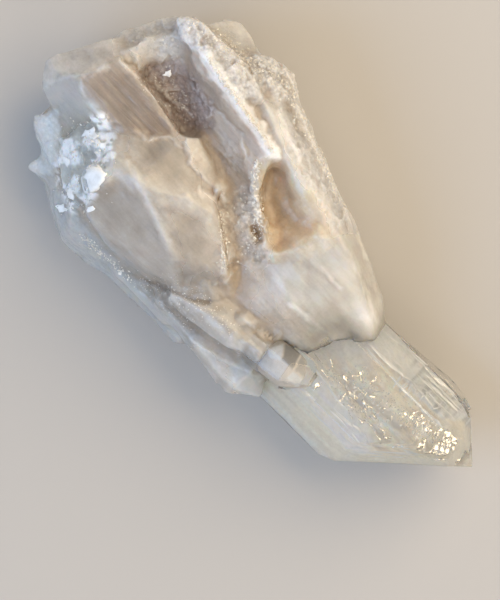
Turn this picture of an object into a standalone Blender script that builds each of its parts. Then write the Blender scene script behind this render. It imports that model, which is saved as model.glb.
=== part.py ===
"""Quartz cluster: one stone of quartz crystals grown together, lying on its side.

A large clear crystal points along +X. Milky crystals, broken blocks and crusted ridges lean on it at its
root, and small crystals lie along its left side. All of them are intergrown, so the stone is one solid.

Places are read off a survey sheet: east and south in millimetres from the sheet's north-west corner, and
height above the table. On the sheet the main crystal points south-east, so the sheet is turned 45 degrees
to bring that crystal along +X. The sheet's datum point becomes the origin, at the middle of the stone.
"""

from math import cos, radians, sin
from random import Random

import bmesh
import bpy
from mathutils import Matrix, Vector

MM = 0.001

# Driving dimensions, in millimetres and degrees.
DATUM_EAST, DATUM_SOUTH = 67.975, 63.179  # the sheet point that becomes the origin
SHEET_TURN = 45.0                       # from the sheet's east to the part's +X
RHOMB_ANGLE = 51.8                      # between quartz's c-axis and the normal of a tip face
MAIN_APOTHEM = 15.5                     # half the main crystal's thickness, face to face
MAIN_ROOT = (46.0, 55.0, 15.5)
MAIN_END = (113.45, 122.55, 15.5)       # where the main crystal's axis leaves its tip faces
MAIN_TIP_SHIFT = (-7.5, 3.1)            # from there to its point, sideways and up
WEAR = 3.0                              # rounding of the worn thumb-shaped crystal
TABLE_SIZE = 400.0                      # the block below the table top, cut off to make the resting faces
SEED_STEP = 7                           # between the seeds of one crust and the next


def on_sheet(east, south, height):
    """A point of the survey sheet in the part's frame, in metres."""
    east, south = east - DATUM_EAST, south - DATUM_SOUTH
    turn = radians(SHEET_TURN)
    return Vector((
        (east * cos(turn) + south * sin(turn)) * MM,
        (east * sin(turn) - south * cos(turn)) * MM,
        height * MM,
    ))


def new_object(name, bm, collection):
    """Puts a bmesh into a named object, with its faces pointing out."""
    bmesh.ops.recalc_face_normals(bm, faces=bm.faces)
    mesh = bpy.data.meshes.new(name)
    bm.to_mesh(mesh)
    bm.free()
    obj = bpy.data.objects.new(name, mesh)
    collection.objects.link(obj)
    obj.hide_render = True
    obj.display_type = "WIRE"
    return obj


def keep_behind(bm, point, normal):
    """Cuts a closed convex bmesh by a plane and closes it again; what lies beyond the plane goes."""
    cut = bmesh.ops.bisect_plane(
        bm, geom=bm.verts[:] + bm.edges[:] + bm.faces[:], dist=1e-7,
        plane_co=point, plane_no=normal, clear_outer=True,
    )
    edges = [g for g in cut["geom_cut"] if isinstance(g, bmesh.types.BMEdge)]
    if edges:
        bmesh.ops.contextual_create(bm, geom=edges)


def crystal(name, root, end, apothem, roll=0.0, taper=0.0, sides=(1,) * 6, shift=(0, 0), caps=(0,) * 6):
    """A quartz crystal: six prism faces and up to six tip faces, each at its own distance.

    root and end are sheet points on the axis, apothem is the axis-to-face distance at the root, taper
    narrows each side in degrees, sides scales each prism face's distance, shift moves the point sideways
    and up from the axis and caps moves each tip face outwards, in millimetres. At roll 0, face 0 looks up.
    """
    start, finish = on_sheet(*root), on_sheet(*end)
    axis = (finish - start).normalized()
    across = axis.cross(Vector((0, 0, 1))).normalized()
    up = across.cross(axis)
    length = (finish - start).length
    bm = bmesh.new()
    bmesh.ops.create_cube(bm, size=4 * length, matrix=Matrix.Translation(start))
    keep_behind(bm, start, -axis)
    lean = radians(taper)
    rhomb = radians(RHOMB_ANGLE)
    apex = finish + (across * shift[0] + up * shift[1]) * MM
    for k in range(6):
        turn = radians(roll + 60 * k)
        outward = up * cos(turn) + across * sin(turn)
        side = outward * cos(lean) + axis * sin(lean)
        keep_behind(bm, start + outward * apothem * sides[k] * MM, side)
        cap = outward * sin(rhomb) + axis * cos(rhomb)
        keep_behind(bm, apex + cap * caps[k] * MM, cap)
    return new_object(name, bm, growth)


def hull(name, points, collection):
    """The convex solid around some points."""
    bm = bmesh.new()
    for point in points:
        bm.verts.new(point)
    made = bmesh.ops.convex_hull(bm, input=bm.verts)
    inside = [g for g in made["geom_interior"] if isinstance(g, bmesh.types.BMVert)]
    bmesh.ops.delete(bm, geom=inside, context="VERTS")
    bmesh.ops.dissolve_limit(bm, angle_limit=radians(1), verts=bm.verts, edges=bm.edges)
    return new_object(name, bm, collection)


def block(name, *corners):
    """A broken block or a worn crystal: the convex solid around its corners, given as sheet points."""
    return hull(name, [on_sheet(*corner) for corner in corners], growth)


def pit(name, *corners):
    """A hollow with flat sides, cut into the stone; its corners are sheet points."""
    return hull(name, [on_sheet(*corner) for corner in corners], hollows)


def foot(height, *plan):
    """Sheet points all at one height, for the hidden foot of a block."""
    return [(east, south, height) for east, south in plan]


def surface_height(place, blocks, view):
    """How high the stone grown so far stands at a place, in metres."""
    above = Vector((place.x, place.y, 1))
    tops = [b.ray_cast(above, Vector((0, 0, -1)), depsgraph=view) for b in blocks]
    return max((point.z for hit, point, _, _ in tops if hit), default=0)


def crust(name, route, width, count, size, flatness=0.7, sunk=0.3):
    """Small irregular lumps scattered along a route of sheet points, standing on what is there already."""
    chance = Random(len(growth.objects) * SEED_STEP)
    view = bpy.context.evaluated_depsgraph_get()
    blocks = list(growth.objects)
    for k in range(count):
        way = (k + chance.random()) / count * (len(route) - 1)
        leg = min(int(way), len(route) - 2)
        start, end = Vector(route[leg]), Vector(route[leg + 1])
        spot = start.lerp(end, way - leg)
        aside = Vector((start.y - end.y, end.x - start.x)).normalized()
        spot += aside * width * (chance.random() - 0.5)
        centre = on_sheet(spot.x, spot.y, 0)
        radius = size * chance.uniform(0.6, 1.3) * MM
        centre.z = surface_height(centre, blocks, view) - sunk * radius
        corners = []
        for _ in range(9):
            ray = Vector([chance.gauss(0, 1) for _ in range(3)]).normalized()
            ray.z *= flatness
            corners.append(centre + ray * radius)
        hull(f"{name}_{k + 1}", corners, growth)


for old in list(bpy.data.objects):
    bpy.data.objects.remove(old)
cluster = bpy.data.collections.new("quartz_cluster")
growth = bpy.data.collections.new("growth")
hollows = bpy.data.collections.new("hollows")
for collection in (cluster, growth, hollows):
    bpy.context.scene.collection.children.link(collection)

# The large clear crystal, with a bulge along its right side, and the milky shoulder crystal beside it.
main = crystal("main", MAIN_ROOT, MAIN_END, MAIN_APOTHEM, shift=MAIN_TIP_SHIFT)
block(
    "main_bulge",
    (97.5, 81.4, 15.5), (107, 89.6, 15.8), (114.3, 95.7, 16), (118.6, 102.6, 16), (108, 92, 12),
    (116, 99.5, 12), (112, 98, 19), (100, 90, 15), (113, 105, 15),
)
block(
    "shoulder",
    (75, 61.5, 40.5), (85, 58.5, 40), (88.7, 66, 38.6), (92.7, 79.5, 33.7), (94, 85.5, 30.4),
    (84, 85, 32), (71.5, 75, 37.6), (67, 64, 39), (89, 56.2, 27), (93.4, 67, 24), (95.8, 74.3, 21.5),
    (97, 81, 18.5), *foot(8, (66, 66), (85, 58), (94, 80), (84, 84), (70, 74)),
)
block(
    "shoulder_flank",
    (64, 63.5, 37.6), (68, 64.6, 38), (72, 75.5, 37), (84, 85.5, 31.6), (77, 88.5, 31.5), (62, 82, 31.5),
    (55, 74, 31), (57, 66, 33), *foot(12, (58, 66), (72, 70), (82, 84), (62, 80), (56, 74)),
)

# The worn, thumb-shaped crystal, and the white chipped crest along its right edge.
thumb = block(
    "thumb",
    (28, 34.5, 41), (35, 32.5, 41.3), (44.5, 33.5, 41), (47, 36, 41.5), (52, 42.5, 41), (53, 49, 41.5),
    (28.5, 41.5, 44.8), (37.5, 47.5, 46.4), (47.5, 50, 45.4), (54.2, 53.8, 42.3),
    (40, 56.3, 44.8), (42.5, 65, 40.8), (44, 71, 35),
    (22, 47, 38.5), (21, 53.8, 34), (26, 61, 27), (33, 67.5, 23), (40, 72, 23),
    (55.8, 60, 41.2), (57, 67.5, 38.5), (57.3, 72.5, 33), (50, 75.7, 28), (56, 75, 29),
    *foot(8, (24, 36), (45, 34), (24, 50), (33, 64), (50, 72), (56, 70), (52, 46)),
)
worn = thumb.modifiers.new("worn edges", "BEVEL")
worn.width = WEAR * MM
worn.segments = 3
worn.limit_method = "ANGLE"
worn.angle_limit = radians(12)
block(
    "chipped_crest",
    (45.2, 34.6, 42.2), (49.8, 34.6, 41.6), (51.4, 40, 41.4), (56.2, 47.4, 38), (54, 49, 40.6),
    (50, 44, 42), *foot(30, (46, 36), (50, 36), (54, 47), (52, 48)),
)

# The striated block at the root, its frosted end and the smoky pocket between that and the plate.
block(
    "striated_block",
    (21, 20.5, 42.4), (24.5, 18, 43), (30.5, 15.5, 43), (33.8, 18.8, 42.8), (40, 26.3, 42),
    (44.5, 33.3, 41), (37.5, 34.3, 41.4), (30, 31.8, 41.8), (25, 29.5, 41.4), (20.5, 23.8, 41.5),
    (10.3, 20, 31), (11.3, 15, 32), (13.8, 13.3, 33), (20, 12, 35), (25, 10.5, 36), (28.8, 9.5, 36.5),
    (10.5, 22.5, 30), (12.5, 20.5, 34), (15.5, 19, 38), (19.5, 35, 27), (17.5, 35.5, 25), (13.8, 27, 25),
    *foot(12, (14, 16), (28, 12), (43, 33), (20, 35), (14, 26)),
)
block(
    "frosted_end",
    (29, 9.5, 35), (30.5, 7.4, 34), (38, 5.3, 33.5), (45, 4.3, 35), (50, 5.8, 38), (47, 10, 40.5),
    (45, 15.4, 38.5), (36, 16.6, 38), (31, 15, 39), (38.5, 10, 39.6),
    *foot(14, (30, 11), (38, 7), (49, 7), (45, 16), (34, 17)),
)
block(
    "pale_lump",
    (31.4, 12, 40.4), (35, 11, 41), (37.2, 14, 40.4), (36.5, 17, 38.6), (32.5, 16.6, 39.4), (34, 14, 34),
)
block(
    "frost_lump",
    (35.5, 9.4, 40), (37.5, 9.2, 40.4), (37.8, 12, 40.4), (36.2, 11.6, 40.2), (36.6, 10.4, 36),
)
block("frost_step", (41, 9, 40.6), (45.4, 8.8, 41.2), (45, 13, 40.4), (41.6, 12.6, 40), (43, 11, 35))
block(
    "white_chip",
    (40, 17.6, 37.4), (43, 17, 38), (44.8, 17.8, 38), (44.2, 19.8, 37.2), (40.8, 20, 36.6),
    (42.5, 18.6, 33),
)
block(
    "pocket_floor",
    (34, 16, 36), (46, 15.6, 36.4), (50.5, 24, 35.6), (50, 33, 34.5), (45, 35, 34), (37, 23, 34),
    *foot(8, (34, 16), (46, 16), (50, 32), (44, 34)),
)

# The plate with its bright ridge line, and its raised right half.
block(
    "plate",
    (52, 15, 46.3), (56, 21, 46.3), (61, 28.8, 45.8), (66.3, 35, 45), (68.3, 38.8, 44), (45.7, 12, 40.5),
    (44.4, 15.6, 37.4), (51.2, 24.5, 37.5), (49, 29.5, 35.6), (50, 35, 35), (54, 41, 35.4),
    (58, 47.5, 36), (61, 50.6, 36.4), (63.6, 50, 37.5), (64.5, 44.5, 40),
    *foot(10, (48, 14), (66, 38), (62, 50), (50, 38)),
)
block(
    "plate_ledge",
    (59.8, 33, 43.2), (61.2, 41, 41.6), (63.6, 50.4, 38.6), (68.4, 38.8, 44.6), (66.2, 41.6, 43),
    (64.6, 44.6, 42), (64.2, 49.6, 39.6), *foot(30, (61, 36), (67, 39), (64, 49), (62, 46)),
)
block(
    "plate_sliver",
    (47, 14, 43.4), (50.4, 14.4, 45.8), (55, 22, 45.9), (59, 29.6, 45), (55, 27, 42.8), (50, 19.6, 42),
    (52, 18, 36), (55, 25, 36),
)

# The crusted ridges at the far right of the root, and the fin that runs down to the shoulder.
block(
    "crust_ridge",
    (44, 5, 42), (47, 4.6, 42), (51, 6, 44), (59, 14, 44), (64, 18.8, 43.5), (65.5, 25, 43.5),
    (61, 25, 45.6), (52, 15, 46.4), (46, 11, 44.2), *foot(14, (48, 7), (58, 14), (64, 22), (50, 14)),
)
block(
    "north_block",
    (51.7, 6.2, 38.5), (56, 5, 35.5), (60, 5.5, 33.5), (62.7, 9, 32.5), (64.3, 12.5, 33.5),
    (60.5, 13.4, 38.4), (57.3, 12.4, 39.4), *foot(14, (52, 8), (59, 7), (63, 13), (56, 14)),
)
block(
    "crest",
    (63.4, 13.8, 40.4), (68.8, 15, 37), (74.2, 21.2, 34.5), (75, 26.3, 33), (70, 26, 41.4),
    (66.3, 20, 42.4), *foot(10, (62, 15), (68, 16), (73, 25), (64, 24)),
)
block(
    "warm_gap",
    (58.4, 21.6, 44), (60.5, 24, 42.8), (66.4, 25, 41.4), (70, 35, 42), (70.6, 41, 40), (68, 38, 42),
    (62, 28, 43), *foot(20, (59, 23), (66, 26), (70, 38), (66, 36)),
)
block(
    "crest_seam",
    (58.6, 14, 41), (62.6, 15, 41), (67, 24, 40.6), (67, 27, 40), (63, 25, 41),
    *foot(20, (60, 15), (66, 25)),
)
block(
    "fin",
    (65.6, 25.4, 43.8), (69, 34, 44.6), (73, 43, 43.4), (78, 51.5, 41.4), (83.5, 57.5, 39.4),
    (68.2, 36, 41), (71, 45, 37), (75, 56, 37), (80, 61, 37.6), (75, 26.3, 32.6), (79.5, 38.2, 30.5),
    (86, 50.8, 28.6), (89, 56.2, 26.6), (72, 29, 41), (77.5, 42, 39), (85, 55, 37),
    *foot(8, (70, 28), (78, 40), (86, 56), (76, 50), (70, 38)),
)
block(
    "fin_rim",
    (74.6, 26, 37), (76.6, 33, 37.6), (80, 41, 36.6), (85.5, 51.5, 34.4), (88.6, 57, 32),
    (79.8, 38.6, 30), (86.2, 51, 28), (75.4, 27, 30), (77, 42, 34), (84, 54, 32), (74, 30, 33),
)
block(
    "groove_floor",
    (65.4, 41, 34), (70, 41, 34.6), (74, 57, 37), (80, 60.5, 38.6), (73, 65.5, 39), (66, 66, 36.6),
    (65, 52, 34.6), *foot(8, (66, 42), (74, 56), (80, 60), (70, 66), (65, 65)),
)
block(
    "ragged_ridge",
    (56.5, 49, 36), (62, 49, 37.6), (64.2, 48, 39.4), (65.8, 54, 39.4), (67.2, 60, 38.4), (67, 65.4, 38),
    (62, 68, 36.4), (57.5, 62, 35), *foot(10, (57, 52), (65, 50), (66, 64), (58, 62)),
)
block(
    "valley_floor",
    (51, 44, 32), (56.4, 48, 33), (61, 50, 32), (60, 66, 32.6), (64, 79, 33), (55, 77, 30.5),
    (50, 60, 31), *foot(8, (52, 46), (61, 52), (64, 78), (56, 74)),
)

# Small crystals lying along the left side.
crystal(
    "rider", (50.8, 75.7, 23.6), (77.6, 96.7, 33.2), 4.9, roll=14, sides=(1, 1, 0.92, 1, 1.05, 1),
    shift=(-3.1, 0.6), caps=(0, 2.0, 2.4, 0, 0, 0),
)
crystal("rider_twin", (44, 72, 29), (63.5, 86.5, 31.5), 4.2, roll=34, shift=(0.8, 0))
crystal("left_crystal", (42, 72, 21), (65.5, 99.5, 20), 5.6, roll=12, taper=0.6)
crystal("blade", (28.6, 67.6, 12), (47.6, 86.6, 11), 2.4, roll=8, sides=(1.6, 1, 1, 1.6, 1, 1))
crystal("blade_twin", (30, 66, 17), (45.5, 82, 16), 3.0, roll=22)
block(
    "gritty_flank",
    (31, 66, 22), (40, 72, 25), (50, 76.6, 28.6), (57, 76, 30), (60, 84, 28), (50, 84, 24), (42, 80, 20),
    (34, 74, 18), *foot(6, (32, 68), (50, 74), (58, 82), (44, 80)),
)
block(
    "left_ledge",
    (14.3, 60.5, 12), (13, 52, 18), (17, 46, 26), (24, 52, 31), (30, 62, 25), (33, 67.5, 22.5),
    (32.8, 70, 17), (28, 69.4, 12), (21, 66.3, 10), (19, 60, 20),
    *foot(4, (16, 60), (16, 52), (30, 67), (24, 54)),
)
block(
    "left_wall",
    (9.8, 43.8, 14), (13, 51, 15), (14.3, 60.3, 11), (17, 44, 25), (18, 52, 27), (17, 58, 21),
    *foot(4, (13, 46), (15, 59), (22, 56), (20, 46)),
)

# Broken teeth and white flakes at the left of the root.
block(
    "tooth_upper",
    (7.8, 28.2, 24), (11, 28.6, 26.5), (13.8, 28.2, 25), (16, 33, 27), (15, 38, 25), (12.6, 41.6, 22.6),
    (8.4, 34, 19), *foot(10, (11, 30), (16, 34), (14, 40)),
)
block(
    "tooth_middle",
    (8.6, 33, 21), (12, 34, 25), (14.4, 40, 24.4), (12.6, 42, 22), (10, 38.4, 18),
    *foot(12, (11, 34), (14, 40)),
)
block(
    "tooth_lower",
    (5.8, 41, 15.4), (9.6, 39.2, 18.4), (15, 41, 23), (17.4, 45, 24), (13, 46.6, 18), (10, 44, 13),
    *foot(8, (12, 42), (17, 44), (13, 47)),
)
block(
    "root_mass",
    (14, 36, 25), (18, 34, 31), (25, 31, 38), (29, 34, 39), (28, 44, 40.5), (22.4, 49.6, 36),
    (15, 47, 27), *foot(8, (17, 36), (28, 34), (30, 46), (18, 50)),
)
block(
    "snow_flake",
    (20, 43, 38.4), (22.4, 40.8, 41.6), (27.6, 43.6, 45.4), (27, 46.2, 44.8), (21.8, 49, 39.8),
    (24, 45, 33),
)
block(
    "snow_flake_small",
    (21.6, 36, 36.4), (24, 34, 38.6), (26.4, 36, 39.8), (24.6, 38.6, 39.4), (24, 36, 33),
)

# Crystals low on the far side and at the root's end, below the crusted ridges.
crystal("far_upper", (65, 19, 21), (82.4, 59, 20), 6.6, roll=12, taper=0.8)
crystal("far_lower", (66, 25, 9), (84.6, 65.4, 10), 6.8, roll=24, taper=0.6)
crystal("far_small", (78, 50, 12), (94.6, 82, 9), 5.2, roll=6, taper=0.8)
crystal("end_small", (44, 9, 20), (66, 15.6, 24), 5.0, roll=20, taper=1.0)

# Three thick crystals that carry the root, mostly hidden below the others.
crystal("under_left", (22, 20, 13.4), (58, 78, 12.6), 14.0, roll=8, taper=1.5)
crystal("under_right", (52, 17, 12), (79, 66, 11.6), 12.4, roll=-6, taper=1.0)
crystal("under_back", (30, 14, 14), (66, 50, 13.4), 13.0, roll=20, taper=1.0)

bpy.context.view_layer.update()
crust("ridge_crust", [(45.5, 7.6), (51, 10), (58, 17.4), (64, 23)], 5.0, 28, 1.6)
crust("crest_crust", [(64.5, 16), (69, 18.4), (72.6, 24)], 5.0, 16, 1.5)
crust("fin_crust", [(69.6, 27.5), (72.6, 35), (75, 41)], 2.2, 11, 1.1)
crust("ragged_crust", [(64.4, 46.6), (62.4, 51), (58.4, 53.6), (61.6, 60), (66, 62)], 3.4, 20, 1.1)
crust("plate_crust", [(65, 42), (63.6, 48), (62, 50.4)], 0.8, 7, 0.8)
crust("flakes", [(15.6, 37), (19.6, 36), (23.6, 34), (21.4, 41), (17, 44), (19.6, 49.6)], 4.4, 26, 1.5, 0.5)
crust("pocket_grit", [(37.4, 18.6), (43, 23.4), (46.8, 30)], 3.6, 12, 1.0)
crust("flank_grit", [(35.6, 70.4), (42.4, 75.4), (50, 80)], 2.2, 12, 0.9)
crust("tooth_grit", [(9.6, 30.4), (12.4, 34), (12.4, 40)], 2.4, 8, 1.0)

# Hollows: the four-sided hole in the ragged ridge and the furrow outside the fin's crust.
pit("hole", (62, 57.2, 42), (64.4, 55.4, 42), (65.9, 58.8, 42), (64.3, 61.6, 42), (64.2, 58.4, 33.6))
pit(
    "fin_furrow",
    (71.6, 26, 44), (73.4, 26.4, 44), (76, 35.4, 44), (75, 36.2, 44), (72.8, 28.4, 37), (75, 34, 36.4),
)
pit(
    "ridge_furrow",
    (52.4, 5.6, 48), (56.6, 9.4, 48), (63.4, 17.2, 48), (61.6, 17, 48), (53, 7.6, 38), (61, 15.6, 38),
)
table = bmesh.new()
below = Matrix.Translation((0, 0, -TABLE_SIZE * MM / 2))
bmesh.ops.create_cube(table, size=TABLE_SIZE * MM, matrix=below)
new_object("below_the_table", table, hollows)

body = bpy.data.objects.new("quartz_cluster", main.data.copy())
cluster.objects.link(body)
bpy.data.objects.remove(main)
for name, operation, pieces in (("grown together", "UNION", growth), ("hollows", "DIFFERENCE", hollows)):
    joined = body.modifiers.new(name, "BOOLEAN")
    joined.operation = operation
    joined.operand_type = "COLLECTION"
    joined.collection = pieces

quartz = bpy.data.materials.new("quartz")
quartz.use_nodes = True
shader = quartz.node_tree.nodes["Principled BSDF"]
shader.inputs["Base Color"].default_value = (0.62, 0.57, 0.50, 1)
shader.inputs["Roughness"].default_value = 0.25
body.data.materials.append(quartz)
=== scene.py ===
# %% [markdown]
# # A quartz cluster
# The object is one stone: a large clear crystal that grows out of a milky, crusted root. This lesson dresses
# the stone's faceted solid, which the frame brings in at its real size. Shapes are in metres, places on the
# stone are read off a survey sheet in millimetres, and the sheet is turned 45 degrees into the stone's frame.

from itertools import product

import bmesh
import bpy
import numpy as np
from mathutils import Matrix, Vector
from mathutils.bvhtree import BVHTree


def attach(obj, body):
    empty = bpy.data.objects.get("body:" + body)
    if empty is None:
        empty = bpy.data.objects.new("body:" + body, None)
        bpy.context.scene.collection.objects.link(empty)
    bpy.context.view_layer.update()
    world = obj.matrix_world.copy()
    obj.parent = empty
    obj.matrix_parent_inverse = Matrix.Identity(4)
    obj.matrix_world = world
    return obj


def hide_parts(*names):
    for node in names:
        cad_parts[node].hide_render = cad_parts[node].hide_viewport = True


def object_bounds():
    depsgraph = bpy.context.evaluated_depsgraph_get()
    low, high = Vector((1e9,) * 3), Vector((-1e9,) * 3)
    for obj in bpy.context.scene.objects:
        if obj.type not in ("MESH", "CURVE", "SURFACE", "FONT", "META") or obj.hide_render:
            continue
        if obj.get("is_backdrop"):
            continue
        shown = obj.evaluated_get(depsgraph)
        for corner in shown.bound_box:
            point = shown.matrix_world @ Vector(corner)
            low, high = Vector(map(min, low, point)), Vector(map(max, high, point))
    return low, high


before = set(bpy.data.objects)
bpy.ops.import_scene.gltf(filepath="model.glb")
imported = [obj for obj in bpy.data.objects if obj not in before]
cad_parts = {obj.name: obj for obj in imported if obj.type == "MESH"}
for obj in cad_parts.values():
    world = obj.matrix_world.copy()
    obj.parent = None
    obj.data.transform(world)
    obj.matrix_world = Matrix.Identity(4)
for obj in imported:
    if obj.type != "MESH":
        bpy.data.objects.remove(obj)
cad_low, cad_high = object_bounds()
MM = 0.001
print("solid box, mm:", [round(v / MM, 1) for v in cad_high - cad_low])

# %% [markdown]
# ## The survey sheet
# A place on the stone is easiest to give as it is read from above: so far east and so far south. One turn and
# one shift bring it into the frame, and the inverse tells a mesh where each of its points lies on the sheet.

# %% Sheet to frame and back
DATUM = np.array([67.975, 63.179])
HALF = 0.5 ** 0.5


def on_sheet(east, south, height=0.0):
    """The frame's point for a sheet place: half-root-two times the sum and the difference of the offsets."""
    east, south = east - DATUM[0], south - DATUM[1]
    return Vector(((east + south) * HALF * MM, (east - south) * HALF * MM, height * MM))


def sheet_of(points):
    """East and south in millimetres of points in the frame: the sum and difference, turned back."""
    x, y = points[:, 0] / MM, points[:, 1] / MM
    return (x + y) * HALF + DATUM[0], (x - y) * HALF + DATUM[1]


# %% [markdown]
# ## Camera
# The stone is seen from straight above, with the sheet's east to the right. A long lens far away keeps the
# faces in proportion, as a careful specimen picture does, and the level that has the true scale is placed
# two thirds of the way up the stone.

# %% Camera
PICTURE = (500, 600)             # pixels
SCALE = 0.25 * MM                # metres a pixel, at the level of true scale
TRUE_LEVEL = 32 * MM
CAMERA_HEIGHT = 1.5              # above that level
SENSOR = 36.0

east_way = Vector((HALF, HALF, 0))
north_way = Vector((-HALF, HALF, 0))


def picture_way(right, up, high):
    """A unit direction from its shares along the picture's right, the picture's top and straight up."""
    return (east_way * right + north_way * up + Vector((0, 0, high))).normalized()


lens = bpy.data.cameras.new("lens")
lens.sensor_fit = "VERTICAL"
lens.sensor_height = SENSOR
lens.lens = SENSOR * CAMERA_HEIGHT / (PICTURE[1] * SCALE)
lens.clip_start = 0.01
camera = bpy.data.objects.new("camera", lens)
bpy.context.scene.collection.objects.link(camera)
middle = on_sheet(PICTURE[0] / 2 * SCALE / MM, PICTURE[1] / 2 * SCALE / MM)
camera.location = middle + Vector((0, 0, TRUE_LEVEL + CAMERA_HEIGHT))
camera.rotation_euler = Matrix((east_way, north_way, Vector((0, 0, 1)))).transposed().to_euler()
bpy.context.scene.camera = camera
print("lens, mm:", round(lens.lens))

# %% [markdown]
# ## Noise in three dimensions
# Growth and breakage are irregular, but the same irregularity must come out each time the script runs. Random
# numbers fixed to the corners of a cubic lattice, blended between the corners, give a smooth rise and fall;
# random points, one in each cube, give shards when each place belongs to its nearest point.

# %% Small helpers


def unit(vectors):
    """Vectors divided by their lengths."""
    return vectors / np.linalg.norm(vectors, axis=-1, keepdims=True)


def ramp_up(values, low, high):
    """A smooth step from 0 to 1 between two values: three times the square less twice the cube."""
    t = np.clip((values - low) / (high - low), 0, 1)
    return t * t * (3 - 2 * t)


# %% Lattice numbers


def lattice(cell, seed):
    """Random numbers from 0 to 1 for whole-number cells: products with large primes, folded together."""
    h = cell[:, 0] * 73856093 ^ cell[:, 1] * 19349663 ^ cell[:, 2] * 83492791 ^ seed * 2654435761
    h = (h ^ (h >> 13)) * 1274126177 & 0xFFFFFFFF
    h = (h ^ (h >> 15)) * 2246822519 & 0xFFFFFFFF
    return ((h ^ (h >> 16)) & 0xFFFFFF) / 0xFFFFFF


# %% Smooth waves


def waves(points, size, seed=0, octaves=1):
    """Smooth noise from -1 to 1 at a size in millimetres: the eight corner numbers weighted by a fifth-degree
    fade, summed by octaves."""
    total, reach = 0.0, 0.0
    for k in range(octaves):
        q = points / (size * MM) * 2 ** k + 31.7 * k
        cell = np.floor(q).astype(np.int64)
        f = q - cell
        f = f * f * f * (f * (f * 6 - 15) + 10)
        layer = 0.0
        for corner in product((0, 1), repeat=3):
            share = np.prod(np.where(corner, f, 1 - f), axis=1)
            layer = layer + share * (2 * lattice(cell + np.array(corner), seed + k) - 1)
        total = total + layer / 2 ** k
        reach += 1 / 2 ** k
    return total / reach * 1.6


# %% Shards
FARTHEST = 9.0                   # more cubes than any nearest point is away


def shards(points, size, seed=0):
    """The nearest random point of each place: a number and a vector that belong to it, the offset from it and
    how far the place is from the border, which is half the difference of the two shortest distances."""
    q = points / (size * MM)
    cell = np.floor(q).astype(np.int64)
    best = np.full(len(q), FARTHEST)
    second = best.copy()
    offset = np.zeros_like(q)
    owner = np.zeros_like(cell)
    for step in product((-1, 0, 1), repeat=3):
        c = cell + np.array(step)
        centre = c + np.stack([lattice(c, seed + 11 * a) for a in (1, 2, 3)], 1)
        d = q - centre
        r = np.sqrt((d * d).sum(1))
        nearer = r < best
        second = np.where(nearer, best, np.minimum(second, r))
        offset[nearer], owner[nearer] = d[nearer], c[nearer]
        best = np.where(nearer, r, best)
    number = lattice(owner, seed + 5)
    vector = 2 * np.stack([lattice(owner, seed + 17 * a) for a in (1, 2, 3)], 1) - 1
    return number, vector, offset * size * MM, (second - best) / 2 * size


# %% [markdown]
# ## Patches on the sheet
# Each crystal has its own tint, polish and grain. A patch is a many-sided outline on the sheet with a soft
# border, and it gives each point of a mesh a share from 0 to 1. The points are shifted by noise before they
# are compared with the outline, so that no border comes out straight.

# %% Patches


def beside(east, south, route):
    """The distance to a route in millimetres, and its side: 1 on the left of the way along it, -1 on the
    right. Each leg's nearest place is the foot of the plumb line, clamped to the leg's ends."""
    nearest, side = np.full(len(east), np.inf), np.ones(len(east))
    for (x0, y0), (x1, y1) in zip(route, route[1:]):
        dx, dy = x1 - x0, y1 - y0
        t = np.clip(((east - x0) * dx + (south - y0) * dy) / (dx * dx + dy * dy), 0, 1)
        far = np.hypot(east - x0 - t * dx, south - y0 - t * dy)
        closer = far < nearest
        nearest = np.where(closer, far, nearest)
        side = np.where(closer, np.sign((south - y0) * dx - (east - x0) * dy), side)
    return nearest, side


def patch(east, south, corners, soft=1.2):
    """Shares from 0 to 1: the distance to the outline's nearest side, less than nothing outside, faded over
    the soft width. A place is inside when a line from it to the east crosses an odd number of sides."""
    closed = [*corners, corners[0]]
    nearest, _ = beside(east, south, closed)
    inside = np.zeros(len(east), bool)
    for (x0, y0), (x1, y1) in zip(closed, closed[1:]):
        if y0 != y1:
            crosses = (y0 > south) != (y1 > south)
            inside ^= crosses & (east < x0 + (south - y0) * (x1 - x0) / (y1 - y0))
    return ramp_up(np.where(inside, nearest, -nearest), -soft, soft)


# %% Tints and regions
PALETTE = {
    "milk": (0.68, 0.63, 0.57), "cream": (0.74, 0.73, 0.71), "crust": (0.68, 0.68, 0.69),
    "snow": (0.93, 0.94, 0.94), "grey": (0.67, 0.65, 0.62), "ice": (0.86, 0.93, 0.97),
    "steel": (0.84, 0.89, 0.88), "tan": (0.71, 0.61, 0.51), "smoke": (0.52, 0.42, 0.38),
    "fawn": (0.61, 0.52, 0.44), "amber": (0.70, 0.58, 0.44), "ochre": (0.82, 0.62, 0.41),
    "honey": (0.88, 0.71, 0.51), "rose": (0.72, 0.63, 0.53), "greige": (0.61, 0.55, 0.48),
    "pale": (0.82, 0.79, 0.74), "umber": (0.54, 0.38, 0.22), "slate": (0.62, 0.59, 0.55),
    "mauve": (0.50, 0.47, 0.43), "drift": (0.72, 0.77, 0.76),
}
SNOW = np.array(PALETTE["snow"])

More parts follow.
